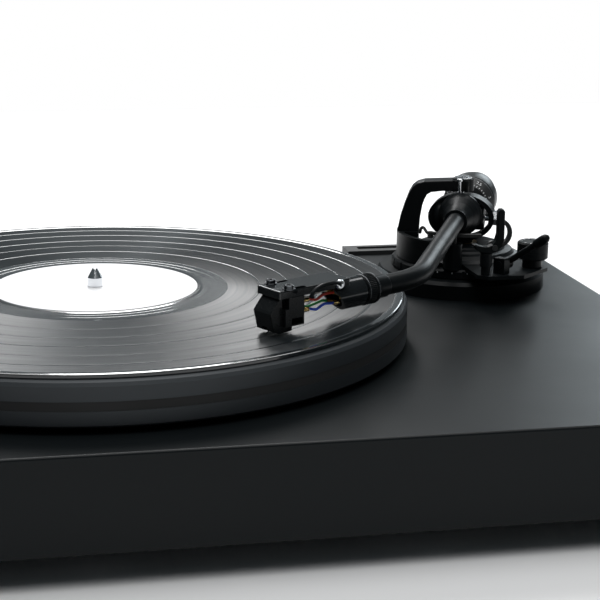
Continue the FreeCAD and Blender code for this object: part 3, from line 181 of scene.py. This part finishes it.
def vinyl():
    """Pressed record: an anisotropic sheen across the grooves under a thin clear gloss."""
    material, tree, shader = new_material("vinyl_grooves")
    for key, value in {"Anisotropic": 0.96, "IOR": 1.5, "Specular IOR Level": 0.42,
                       "Coat Roughness": 0.035, "Coat IOR": 1.5}.items():
        shader.inputs[key].default_value = value
    place = add(tree, "ShaderNodeTexCoord").outputs["Object"]
    offset = add(tree, "ShaderNodeVectorMath", operation="SUBTRACT")
    offset.inputs[1].default_value = SPINDLE
    tree.links.new(place, offset.inputs[0])
    flat = add(tree, "ShaderNodeVectorMath", operation="MULTIPLY")
    flat.inputs[1].default_value = (1, 1, 0)
    tree.links.new(offset.outputs[0], flat.inputs[0])
    radius = add(tree, "ShaderNodeVectorMath", operation="LENGTH")
    tree.links.new(flat.outputs[0], radius.inputs[0])
    bands = add(tree, "ShaderNodeTexNoise", noise_dimensions="1D", Scale=260.0, Detail=5.0)
    tree.links.new(radius.outputs["Value"], bands.inputs["W"])
    tree.links.new(blended(tree, bands.outputs[0], (0.007, 0.0095, 0.011), (0.014, 0.0175, 0.0195)),
                   shader.inputs["Base Color"])
    zones = smooth_zones(tree, radius.outputs["Value"])
    grooved = spread(tree, bands.outputs[0], 0.33, 0.41)
    rough = add(tree, "ShaderNodeMix", data_type="FLOAT")
    rough.inputs[3].default_value = 0.12
    tree.links.new(zones, rough.inputs[0])
    tree.links.new(grooved, rough.inputs[2])
    tree.links.new(rough.outputs[0], shader.inputs["Roughness"])
    tree.links.new(spread(tree, zones, 0.05, 0.75, 0.0, 1.0), shader.inputs["Coat Weight"])
    fine = add(tree, "ShaderNodeTexNoise", noise_dimensions="1D", Scale=2600.0, Detail=2.0)
    tree.links.new(radius.outputs["Value"], fine.inputs["W"])
    relief = add(tree, "ShaderNodeBump", Strength=0.08, Distance=0.0001)
    tree.links.new(fine.outputs[0], relief.inputs["Height"])
    tree.links.new(relief.outputs["Normal"], shader.inputs["Normal"])
    tangent = add(tree, "ShaderNodeTangent", direction_type="RADIAL", axis="Z")
    tree.links.new(tangent.outputs[0], shader.inputs["Tangent"])
    return material


FINISHES = {
    "body": surface("satin_black", (0.0045, 0.0062, 0.0070), (0.0065, 0.0086, 0.0096), (0.34, 0.42),
                    drift=9.0, grain=2200.0, bump=0.03, Specular_IOR_Level=0.16),
    "moulding": surface("black_moulding", (0.012, 0.013, 0.014), (0.02, 0.021, 0.022), (0.42, 0.55),
                        bump=0.08),
    "foot_shell": surface("foot_gloss", (0.010, 0.011, 0.012), (0.016, 0.017, 0.018), (0.18, 0.28)),
    "rubber": surface("rubber", (0.012, 0.012, 0.012), (0.024, 0.024, 0.024), (0.6, 0.8), bump=0.15),
    "steel": surface("steel", (0.42, 0.42, 0.43), (0.56, 0.56, 0.57), (0.25, 0.4), Metallic=1.0),
    "alloy": surface("alloy", (0.50, 0.50, 0.51), (0.64, 0.64, 0.65), (0.28, 0.42), Metallic=1.0),
    "bronze": surface("bronze", (0.36, 0.23, 0.10), (0.52, 0.36, 0.17), (0.3, 0.45), Metallic=1.0),
    "chrome": surface("chrome", (0.74, 0.76, 0.78), (0.86, 0.88, 0.90), (0.16, 0.26),
                      bump=0.01, Metallic=1.0),
    "platter": surface("platter_graphite", (0.030, 0.035, 0.039), (0.042, 0.048, 0.053), (0.40, 0.48),
                       drift=14.0, grain=2600.0, bump=0.08, Metallic=0.35),
    "vinyl": vinyl(),
    "paper": surface("label_paper", (0.80, 0.80, 0.815), (0.86, 0.86, 0.87), (0.55, 0.7), grain=3000.0,
                     bump=0.05),
    "circuit": surface("circuit_board", (0.01, 0.07, 0.03), (0.02, 0.13, 0.06), (0.3, 0.5), drift=160.0),
    "contacts": surface("gold_contact", (0.72, 0.50, 0.17), (0.86, 0.64, 0.27), (0.16, 0.28), Metallic=1.0),
    "arm_black": surface("arm_enamel", (0.0036, 0.0048, 0.0054), (0.0060, 0.0075, 0.0084), (0.34, 0.42),
                         drift=60.0, grain=2400.0, bump=0.015, Specular_IOR_Level=0.12),
    "weight_black": surface("weight_enamel", (0.0045, 0.0060, 0.0068), (0.0075, 0.0095, 0.0105), (0.34, 0.42),
                            drift=60.0, grain=2400.0, bump=0.02, Specular_IOR_Level=0.3),
    "leads": surface("lead_red", (0.45, 0.03, 0.02), (0.6, 0.05, 0.03), (0.35, 0.5)),
}
LEAD_FINISHES = [
    surface("lead_white", (0.62, 0.60, 0.55), (0.78, 0.76, 0.70), (0.35, 0.5)),
    FINISHES["leads"],
    surface("lead_green", (0.03, 0.34, 0.07), (0.05, 0.5, 0.11), (0.35, 0.5)),
    surface("lead_blue", (0.02, 0.07, 0.55), (0.04, 0.12, 0.78), (0.35, 0.5)),
]
HEAD_GLOSS = surface("headshell_gloss", (0.006, 0.0075, 0.0083), (0.010, 0.012, 0.013), (0.10, 0.16),
                     drift=80.0, grain=3000.0, bump=0.01)
CARTRIDGE = surface("cartridge_moulding", (0.004, 0.005, 0.0055), (0.0075, 0.0088, 0.0095), (0.24, 0.32),
                    drift=120.0, grain=3000.0, bump=0.02, Specular_IOR_Level=0.35)
GUNMETAL = surface("gunmetal", (0.05, 0.055, 0.06), (0.09, 0.095, 0.10), (0.18, 0.28),
                   drift=200.0, Metallic=1.0)
MARKING = surface("white_marking", (0.72, 0.73, 0.74), (0.82, 0.83, 0.84), (0.5, 0.65), drift=200.0)
SILVER_RIM = surface("bright_rim", (0.62, 0.64, 0.66), (0.78, 0.80, 0.82), (0.12, 0.22), Metallic=1.0)
KNURLED_RIM = surface("knurled_rim", (0.10, 0.105, 0.11), (0.20, 0.21, 0.22), (0.25, 0.35),
                      drift=900.0, Metallic=1.0)

for node, item in frame["nodes"].items():
    item.data.materials.clear()
    item.data.materials.append(FINISHES[SLOT_OF[node]])
for node, finish in (("headshell", HEAD_GLOSS), ("cartridge", CARTRIDGE), ("stylus", CARTRIDGE)):
    frame["nodes"][node].data.materials[0] = finish


# ---------------------------------------------------------------- mesh helpers

def piece(name, vertices, faces, node, finish=None, matrix=None, smooth=40.0, replaced=()):
    """A mesh object in the row frame that rides on its node's body."""
    mesh = bpy.data.meshes.new(name)
    if matrix is not None:
        vertices = [matrix @ Vector(v) for v in vertices]
    mesh.from_pydata([tuple(v) for v in vertices], [], faces)
    tidy = bmesh.new()
    tidy.from_mesh(mesh)
    bmesh.ops.recalc_face_normals(tidy, faces=tidy.faces)
    tidy.to_mesh(mesh)
    tidy.free()
    mesh.shade_smooth()
    mesh.set_sharp_from_angle(angle=math.radians(smooth))
    item = bpy.data.objects.new(name, mesh)
    bpy.context.scene.collection.objects.link(item)
    item.data.materials.append(finish or FINISHES[SLOT_OF[node]])
    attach(item, BODY_OF[node])
    if replaced:
        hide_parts(*replaced)
    return item


def lathe(name, profile, node, matrix, steps=128, ripple=None, **options):
    """A closed ring turned from a loop of (radius, z) points in millimetres.

    ripple(angle, i) adds to the radius of the loop's point i.
    """
    count = len(profile)
    vertices, faces = [], []
    for k in range(steps):
        angle = 2 * math.pi * k / steps
        for i, (radius, z) in enumerate(profile):
            reach = (radius + (ripple(angle, i) if ripple else 0.0)) * MM
            vertices.append((reach * math.cos(angle), reach * math.sin(angle), z * MM))
    for k in range(steps):
        ahead = (k + 1) % steps
        for i in range(count):
            after = (i + 1) % count
            faces.append((k * count + i, k * count + after, ahead * count + after, ahead * count + i))
    return piece(name, vertices, faces, node, matrix=matrix, **options)


def loft(name, rings, node, **options):
    """A skin through rings of points that all have the same count, closed at both ends."""
    count = len(rings[0])
    vertices = [v for ring in rings for v in ring]
    faces = []
    for k in range(len(rings) - 1):
        for i in range(count):
            j = (i + 1) % count
            faces.append((k * count + i, k * count + j, (k + 1) * count + j, (k + 1) * count + i))
    faces.append(tuple(range(count)))
    faces.append(tuple((len(rings) - 1) * count + i for i in range(count)))
    return piece(name, vertices, faces, node, **options)


def flowing(points, steps=10):
    """Points along a smooth line through the given ones."""
    line = []
    ends = [points[0] * 2 - points[1], *points, points[-1] * 2 - points[-2]]
    for a, b, c, d in zip(ends, ends[1:], ends[2:], ends[3:]):
        for k in range(steps):
            t = k / steps
            line.append(0.5 * (2 * b + (c - a) * t + (2 * a - 5 * b + 4 * c - d) * t * t
                               + (3 * b - a - 3 * c + d) * t ** 3))
    return line + [points[-1]]


def hose(name, line, radius, node, sides=20, **options):
    """A round bar along a line of points; radius is a number or one value for each point, in millimetres."""
    radii = radius if isinstance(radius, list) else [radius] * len(line)
    rings = []
    side = None
    for i, point in enumerate(line):
        ahead = (line[min(i + 1, len(line) - 1)] - line[max(i - 1, 0)]).normalized()
        if side is None:
            side = ahead.orthogonal().normalized()
        side = (side - ahead * side.dot(ahead)).normalized()
        over = ahead.cross(side)
        rings.append([(point + (side * math.cos(a) + over * math.sin(a)) * radii[i]) * MM
                      for a in (2 * math.pi * k / sides for k in range(sides))])
    return loft(name, rings, node, **options)


def facing(place, normal, upward):
    """A frame at place whose z axis is normal and whose y axis leans to upward."""
    z = normal.normalized()
    x = upward.cross(z).normalized()
    return axes_at(place, x, z.cross(x))


def numeral(name, text, matrix, size, node, finish=MARKING):
    """A printed number, as a thin flat mesh."""
    curve = bpy.data.curves.new(name, "FONT")
    curve.body = text
    curve.size = size * MM
    curve.align_x = "CENTER"
    curve.align_y = "CENTER"
    curve.extrude = 0.02 * MM
    temporary = bpy.data.objects.new(name, curve)
    mesh = bpy.data.meshes.new_from_object(temporary)
    bpy.data.objects.remove(temporary)
    mesh.transform(matrix)
    item = bpy.data.objects.new(name, mesh)
    bpy.context.scene.collection.objects.link(item)
    mesh.materials.clear()
    mesh.materials.append(finish)
    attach(item, BODY_OF[node])
    return item


def marks(name, places, size, node, finish=MARKING):
    """Small flat blocks at the given frames, as one piece; size is (x, y, z) in millimetres."""
    vertices, faces = [], []
    for matrix in places:
        first = len(vertices)
        for dx, dy, dz in ((i, j, k) for i in (-0.5, 0.5) for j in (-0.5, 0.5) for k in (-0.5, 0.5)):
            vertices.append(matrix @ Vector((dx * size[0] * MM, dy * size[1] * MM, dz * size[2] * MM)))
        faces += [tuple(first + i for i in face) for face in
                  ((0, 1, 3, 2), (4, 6, 7, 5), (0, 4, 5, 1), (2, 3, 7, 6), (0, 2, 6, 4), (1, 5, 7, 3))]
    return piece(name, vertices, faces, node, finish=finish)


# ---------------------------------------------------------------- record

def make_record():
    """The disc with its raised rim, tracks, gaps between them, run-out and raised label area."""
    top, bottom = high("record").z / MM, low("record").z / MM
    edge = (high("record").x - low("record").x) / 2 / MM
    hole, groove = 3.65, top - 0.2
    rim = [(hole, bottom), (edge - 0.5, bottom), (edge - 0.15, bottom + 0.15), (edge, bottom + 0.5),
           (edge, top - 0.55), (edge - 0.15, top - 0.2), (edge - 0.6, top - 0.05), (edge - 1.4, top),
           (edge - 3.0, top - 0.03), (edge - 4.0, groove)]
    gaps = []
    for radius in TRACK_GAPS:
        gaps += [(radius + 0.75, groove), (radius + 0.55, groove - 0.05),
                 (radius - 0.55, groove - 0.05), (radius - 0.75, groove)]
    run_out = [(65.0, groove), (64.4, groove - 0.05), (60.4, groove - 0.05), (60.2, groove - 0.08),
               (60.0, groove - 0.05), (56.2, groove - 0.05), (56.0, groove - 0.08), (55.8, groove - 0.05)]
    middle = [(52.6, groove), (51.6, top - 0.06), (50.6, top), (hole, top)]
    lathe("record_vinyl", rim + gaps + run_out + middle, "record", upright(SPINDLE), steps=256,
          smooth=3.0, replaced=["record"])


make_record()


# ---------------------------------------------------------------- tonearm

BEND_DISTANCE, BEND_ANGLE, BEND_RADIUS = 156.5, math.radians(37.2), 45.0
TUBE_RADIUS = 4.85
SCALE_TICKS, TICK_SIZE, TICK_RADIUS, TICK_X = 40, (0.35, 0.9, 0.06), 11.25, -23.38
NUMBER_SIZE, NUMBER_RADIUS, NUMBER_X = 2.6, 13.0, -25.62
PRINT_LIFT = 0.03 * MM
FIRST_NUMBER_TURN = 62.0
LIFT_REACH = 35.0
RING_MARK_DROP, RING_MARK_RADIUS = 1.6, 39.03
DIAL_MARK_LIFT, DIAL_MARK_RADIUS = 0.05, 6.4


def in_arm(x, y=0.0, z=0.0):
    """A point of the arm's frame, in millimetres of the row's frame."""
    return (ARM @ (Vector((x, y, z)) * MM)) / MM


def in_head(x, y=0.0, z=0.0):
    return (HEAD @ (Vector((x, y, z)) * MM)) / MM


def make_tube():
    """The J-shaped tube: a long straight run, one bend and a short run to the socket."""
    tangent = BEND_RADIUS * math.tan(BEND_ANGLE / 2)
    line = [in_arm(x) for x in (22.0, 60.0, 100.0, 120.0, BEND_DISTANCE - tangent - 4)]
    for k in range(17):
        turn = BEND_ANGLE * k / 16
        line.append(in_arm(BEND_DISTANCE - tangent + BEND_RADIUS * math.sin(turn),
                           BEND_RADIUS * (math.cos(turn) - 1)))
    line += [in_head(x) for x in (tangent + 4, 24.0)]
    hose("tonearm_tube", line, TUBE_RADIUS, "arm_tube", sides=48, smooth=60.0, replaced=["arm_tube"])
    lathe("tube_socket", [(4.9, 22.0), (5.0, 21.6), (5.5, 22.6), (5.5, 38.0), (4.9, 38.0)], "arm_tube",
          HEAD_TURNED, steps=64, replaced=["arm_tube"])


def knurl(count, depth, rows):
    """A ripple for the given rows of a profile."""
    return lambda angle, row: -depth * (0.5 + 0.5 * math.cos(count * angle)) if row in rows else 0.0


def make_collar():
    """The ring that locks the headshell, with a knurled band and a bright front edge."""
    profile = [(5.55, 29.5), (6.7, 29.5), (7.1, 29.9), (7.1, 31.4), (6.8, 31.7), (7.15, 32.0), (7.15, 35.2),
               (6.8, 35.5), (6.8, 37.4), (5.55, 37.4)]
    lathe("locking_ring", profile, "locking_collar", HEAD_TURNED, steps=288, ripple=knurl(48, 0.35, (5, 6)),
          smooth=30.0, replaced=["locking_collar"])
    for name, at in (("collar_rim_front", 36.0), ("collar_rim_rear", 30.3)):
        rim = [(6.6, at), (7.2, at), (7.3, at + 0.12), (7.3, at + 0.4), (7.2, at + 0.52), (6.6, at + 0.52)]
        lathe(name, rim, "locking_collar", HEAD_TURNED, steps=288,
              ripple=knurl(72, 0.16, (2, 3)), finish=KNURLED_RIM)


def make_counterweight():
    """The weight with a softened rim, and its scale ring with ticks and numbers."""
    profile = [(6.85, -60.0), (10.6, -60.0), (11.6, -59.6), (12.3, -58.6), (12.6, -57.0), (14.4, -45.5),
               (14.85, -44.4), (15.0, -43.4), (15.0, -30.2), (14.8, -29.5), (14.3, -29.1), (13.6, -29.0),
               (6.85, -29.0)]
    lathe("balance_weight", profile, "counterweight", ARM_TURNED, steps=128, smooth=50.0,
          replaced=["counterweight"])
    ring = [(6.85, -28.9), (14.1, -28.9), (14.6, -28.6), (14.6, -27.7), (10.6, -22.6), (10.2, -22.5),
            (6.85, -22.5)]
    lathe("force_scale", ring, "tracking_force_dial", ARM_TURNED, steps=128, smooth=20.0,
          replaced=["tracking_force_dial"])
    slope = math.atan2(27.7 - 22.6, 14.6 - 10.6)
    ticks = []
    for k in range(SCALE_TICKS):
        turn = 2 * math.pi * k / SCALE_TICKS
        outward = ARM_Y * math.cos(turn) + ARM_Z * math.sin(turn)
        along = ARM_X * math.sin(slope) - outward * math.cos(slope)
        normal = (outward * math.sin(slope) + ARM_X * math.cos(slope)).normalized()
        place = PIVOT + outward * (TICK_RADIUS * MM) + ARM_X * (TICK_X * MM) + normal * PRINT_LIFT
        ticks.append(axes_at(place, along.cross(normal).normalized() * -1, along.normalized()))
    marks("scale_ticks", ticks, TICK_SIZE, "tracking_force_dial")
    for k, text in enumerate(("0", "0.5", "1", "1.5", "2", "2.5", "3", "3.5")):
        turn = math.radians(FIRST_NUMBER_TURN) - 2 * math.pi * (k - 5) / 8
        outward = ARM_Y * math.cos(turn) + ARM_Z * math.sin(turn)
        normal = (outward * math.sin(slope) + ARM_X * math.cos(slope)).normalized()
        place = PIVOT + outward * (NUMBER_RADIUS * MM) + ARM_X * (NUMBER_X * MM) + normal * PRINT_LIFT
        numeral("scale_number_%d" % k, text, facing(place, normal, outward), NUMBER_SIZE,
                "tracking_force_dial")


PITCH = joint("arm_pitch")[0]


def make_pivot_details():
    """Bearing bosses on the housing's sides, and the posts and screw at the arch's tip."""
    sideways = axes_at(PITCH, ARM_Z, ARM_X)
    wide = [(0.5, -15.2), (7.4, -15.2), (8.6, -14.4), (9.2, -12.8), (9.2, -9.6), (8.0, -7.0), (0.5, -7.0)]
    narrow = [(0.5, 7.0), (6.6, 7.0), (7.2, 8.4), (7.2, 11.6), (6.2, 12.6), (0.5, 12.6)]
    lathe("pivot_boss_left", wide, "pivot_housing", sideways, steps=72, smooth=50.0)
    lathe("pivot_boss_right", narrow, "pivot_housing", sideways, steps=72, smooth=50.0)
    post = [(0.02, 12.4), (1.2, 12.4), (1.45, 12.8), (1.45, 18.2), (1.2, 18.7), (0.02, 18.8)]
    for name, across in (("left", -4.6), ("right", 2.6)):
        place = PIVOT + (ARM_X * 5.2 + ARM_Y * across) * MM
        lathe("arch_post_%s" % name, post, "bearing_arch", Matrix.Translation(place), steps=40, smooth=50.0)
    place = PIVOT + (ARM_X * 5.6 - ARM_Y * 1.1) * MM
    screw = [(0.02, 11.6), (0.9, 11.8), (1.0, 12.2), (1.0, 18.2), (1.9, 18.4), (2.0, 19.4), (1.5, 19.9),
             (0.02, 20.0)]
    lathe("arch_screw", screw, "bearing_arch", Matrix.Translation(place), steps=40, smooth=40.0,
          finish=SILVER_RIM)


def make_lift_hook():
    """The lift bar's raised end, which stops the arm from sliding off."""
    line = []
    for bearing, height in ((-134.0, 88.9), (-138.0, 89.2), (-141.0, 90.4), (-143.4, 92.0), (-145.6, 92.2),
                            (-147.4, 90.9), (-148.2, 88.8)):
        turn = math.radians(bearing)
        line.append(Vector((PIVOT.x / MM + LIFT_REACH * math.cos(turn),
                            PIVOT.y / MM + LIFT_REACH * math.sin(turn), height)))
    radii = [0.8] * 30 + [0.9] * 7
    hose("lift_bar_hook", flowing(line, steps=6), radii, "lift_bar", sides=20, smooth=60.0)


def make_dots():
    """Small white index marks on the height ring and on top of the anti-skating dial."""
    ring = high("height_ring")
    places = []
    for k in range(12):
        turn = math.radians(-150 + 12 * k)
        outward = Vector((math.cos(turn), math.sin(turn), 0))
        spot = Vector((PIVOT.x, PIVOT.y, ring.z - RING_MARK_DROP * MM)) + outward * (RING_MARK_RADIUS * MM)
        places.append(facing(spot, outward, Vector((0, 0, 1))))
    marks("height_marks", places, (0.5, 0.9, 0.06), "height_ring")
    dial, dial_top = centre("anti_skating_dial"), high("anti_skating_dial").z + DIAL_MARK_LIFT * MM
    spots = []
    for k in range(11):
        turn = math.radians(-150 + 30 * k)
        outward = Vector((math.cos(turn), math.sin(turn), 0))
        spot = Vector((dial.x, dial.y, dial_top)) + outward * (DIAL_MARK_RADIUS * MM)
        spots.append(facing(spot, Vector((0, 0, 1)), outward))
    marks("skating_marks", spots, (0.4, 1.5, 0.06), "anti_skating_dial")


make_tube()
make_collar()
make_counterweight()
make_pivot_details()
make_lift_hook()
make_dots()


# ---------------------------------------------------------------- headshell and cartridge

SCREW_X, SCREW_Y, PLATE_TOP = 84.1, 6.35, 9.4
CARTRIDGE_BACK, SOCKET_FRONT = 77.0, 38.0
FINGER_ROOT_X, FINGER_ROOT_Z = 56.5, 7.6
PINS = [(-2.6, -2.8), (2.6, -2.8), (-2.6, 1.6), (2.6, 1.6)]
TERMINALS = [(-2.4, -2.4), (2.4, -2.4), (-2.4, 2.4), (2.4, 2.4)]


def make_head_screws():
    """Hex-socket screws on washers at the front of the plate's slots."""
    def hexed(angle, row):
        if row not in (0, 7):
            return 0.0
        local = (angle + math.pi / 6) % (math.pi / 3) - math.pi / 6
        return 1.0 / math.cos(local) - 1.0

    head = [(1.0, 0.9), (0.02, 0.9), (0.02, 0.45), (1.95, 0.45), (2.1, 0.6), (2.1, 1.7), (1.85, 1.95),
            (1.0, 1.95)]
    washer = [(1.3, 0.02), (2.7, 0.02), (2.8, 0.12), (2.8, 0.36), (2.7, 0.45), (1.3, 0.45)]
    shank = [(0.02, -9.0), (1.2, -9.0), (1.2, 0.5), (0.02, 0.5)]
    for side, name in ((-1, "left"), (1, "right")):
        matrix = HEAD @ Matrix.Translation(Vector((SCREW_X, side * SCREW_Y, PLATE_TOP)) * MM)
        lathe("screw_head_%s" % name, head, "headshell_screws", matrix, steps=72, smooth=25.0,
              finish=GUNMETAL, ripple=hexed, replaced=["headshell_screws"])
        lathe("screw_washer_%s" % name, washer, "headshell_screws", matrix, steps=64, finish=GUNMETAL)
        lathe("screw_shank_%s" % name, shank, "headshell_screws", matrix, steps=32, finish=GUNMETAL,
              replaced=["headshell_screws"])


def make_leads():
    """Four coloured wires with gold sleeves on the cartridge's pins and the shell's terminals."""
    colours = ("white", "red", "green", "blue")
    order = (2, 3, 0, 1)
    for wire, colour in enumerate(colours):
        pin, terminal = PINS[order[wire]], TERMINALS[order[wire]]
        bow = (0.6, 1.0, -0.8, 1.6)[wire]
        start = CARTRIDGE_BACK - 6.9
        end = SOCKET_FRONT + 16.4
        across = [pin[0] + (terminal[0] - pin[0]) * t for t in (0.15, 0.5, 0.85)]
        line = flowing([in_head(start + 0.8, *pin), in_head(start - 1.2, *pin),
                        in_head(start - 4.4, across[0] + bow * 0.4, pin[1] - 0.6),
                        in_head((start + end) / 2, across[1] + bow, (pin[1] + terminal[1]) / 2 + bow * 0.7),
                        in_head(end + 3.4, across[2] + bow * 0.3, terminal[1] + 0.3),
                        in_head(end + 1.0, *terminal), in_head(end - 0.8, *terminal)], steps=12)
        hose("lead_%s" % colour, line, 0.62, "lead_wires", sides=20, finish=LEAD_FINISHES[wire],
             replaced=["lead_wires"])
    for place, (y, z) in enumerate(PINS):
        profile = [(0.55, 69.9), (0.95, 69.9), (1.0, 70.1), (1.0, 71.6), (0.85, 71.9), (1.1, 72.3),
                   (1.1, 76.6), (1.0, 76.8), (0.55, 76.8)]
        matrix = HEAD_TURNED @ Matrix.Translation((y * MM, z * MM, 0))
        lathe("pin_sleeve_%d" % place, profile, "signal_pins", matrix, steps=40, smooth=30.0)
    for place, (y, z) in enumerate(TERMINALS):
        profile = [(0.55, 50.0), (1.1, 50.0), (1.1, 54.0), (0.9, 54.4), (0.9, 55.2), (0.55, 55.2)]
        matrix = HEAD_TURNED @ Matrix.Translation((y * MM, z * MM, 0))
        lathe("terminal_sleeve_%d" % place, profile, "signal_pins", matrix, steps=40, smooth=30.0)


def make_finger_lift():
    """A thin black bar that leaves the shell's side, runs forward and curls down for a fingertip."""
    route = ((FINGER_ROOT_X, 8.4, FINGER_ROOT_Z), (58.2, 10.2, 8.8), (63.0, 12.4, 10.2), (69.0, 13.4, 10.6),
             (74.0, 13.8, 9.8), (77.0, 13.9, 7.8), (77.4, 13.8, 5.8))
    line = flowing([in_head(*point) for point in route], steps=8)
    radii = [0.9] * (len(line) - 6) + [1.0, 1.1, 1.25, 1.3, 1.15, 0.7]
    hose("finger_rest", line, radii, "finger_lift", sides=24, smooth=60.0, replaced=["finger_lift"])
    screw = [(0.02, 7.9), (2.2, 7.9), (2.3, 8.1), (2.3, 8.9), (2.0, 9.3), (1.1, 9.35), (0.02, 9.0)]
    root = Matrix.Translation(Vector((FINGER_ROOT_X, 0, FINGER_ROOT_Z)) * MM)
    lathe("finger_rest_screw", screw, "finger_lift", HEAD @ root @ Matrix.Rotation(-math.pi / 2, 4, "X"),
          steps=48, finish=SILVER_RIM)


make_head_screws()
make_leads()
make_finger_lift()


# ---------------------------------------------------------------- studio

def make_floor():
    half = 1.3
    mesh = bpy.data.meshes.new("studio_floor")
    corners = [(-half, -half, 0), (half, -half, 0), (half, half, 0), (-half, half, 0)]
    mesh.from_pydata(corners, [], [(0, 1, 2, 3)])
    floor = bpy.data.objects.new("studio_floor", mesh)
    bpy.context.scene.collection.objects.link(floor)
    floor.location.z = -0.0004
    pale = surface("pale_floor", (0.86, 0.86, 0.86), (0.9, 0.9, 0.9), (0.8, 0.9), drift=2.0)
    floor.data.materials.append(pale)


def softbox(name, place, aim, size, power, colour=(1, 1, 1)):
    data = bpy.data.lights.new(name, "AREA")
    data.shape = "RECTANGLE"
    data.size, data.size_y = size
    data.energy = power
    data.color = colour
    lamp = bpy.data.objects.new(name, data)
    bpy.context.scene.collection.objects.link(lamp)
    lamp.location = place
    lamp.rotation_euler = (Vector(aim) - Vector(place)).to_track_quat("-Z", "Y").to_euler()
    lamp.visible_camera = False
    return lamp


def around(compass, elevation, distance):
    """A place at a compass bearing (clockwise from +Y) and elevation round the record."""
    a, e = math.radians(compass), math.radians(elevation)
    direction = Vector((math.sin(a) * math.cos(e), math.cos(a) * math.cos(e), math.sin(e)))
    return MIDDLE + direction * distance


def make_world():
    """White behind the object, and a dimmer cool surround for its reflections."""
    world = bpy.data.worlds.new("studio")
    bpy.context.scene.world = world
    world.use_nodes = True
    tree = world.node_tree
    tree.nodes.clear()
    path = add(tree, "ShaderNodeLightPath")
    seen = add(tree, "ShaderNodeBackground", Color=(1, 1, 1, 1), Strength=1.0)
    surround = add(tree, "ShaderNodeBackground", Color=(0.80, 0.93, 1.0, 1), Strength=0.08)
    mix = add(tree, "ShaderNodeMixShader")
    output = add(tree, "ShaderNodeOutputWorld")
    tree.links.new(path.outputs["Is Camera Ray"], mix.inputs[0])
    tree.links.new(surround.outputs[0], mix.inputs[1])
    tree.links.new(seen.outputs[0], mix.inputs[2])
    tree.links.new(mix.outputs[0], output.inputs["Surface"])


def make_camera():
    """The camera stands in front, a little to the left, and looks slightly down."""
    place = Vector((-113.344, -761.545, 264.09)) * MM
    heading, pitch, roll = math.radians(11.847), math.radians(14.029), math.radians(0.657)
    ahead = Vector((math.sin(heading) * math.cos(pitch), math.cos(heading) * math.cos(pitch),
                    -math.sin(pitch)))
    level = ahead.cross(Vector((0, 0, 1))).normalized()
    above = level.cross(ahead)
    right = level * math.cos(roll) + above * math.sin(roll)
    up = above * math.cos(roll) - level * math.sin(roll)
    data = bpy.data.cameras.new("camera")
    data.sensor_width = 36.0
    data.lens = 95.171
    data.clip_start, data.clip_end = 0.01, 50.0
    camera = bpy.data.objects.new("camera", data)
    bpy.context.scene.collection.objects.link(camera)
    back = -ahead
    camera.matrix_world = Matrix(((right.x, up.x, back.x, place.x), (right.y, up.y, back.y, place.y),
                                  (right.z, up.z, back.z, place.z), (0, 0, 0, 1)))
    bpy.context.scene.camera = camera


make_floor()
make_world()
softbox("overhead", around(150, 78, 1.6), MIDDLE, (1.6, 1.6), 22.0)
softbox("back_strip", around(7, 44, 1.8), MIDDLE, (0.34, 1.4), 17.0)
softbox("floor_wash", (0.1, 1.0, 1.4), (0.1, 1.0, 0.0), (2.2, 0.5), 12.0)
softbox("right_card", around(38, 14, 1.8), MIDDLE, (0.5, 0.4), 3.0, (0.86, 0.95, 1.0))
softbox("backdrop", around(12, 15, 2.4), MIDDLE, (2.2, 0.6), 0.7, (0.90, 0.97, 1.0))
make_camera()
bpy.context.scene.view_settings.view_transform = "Standard"
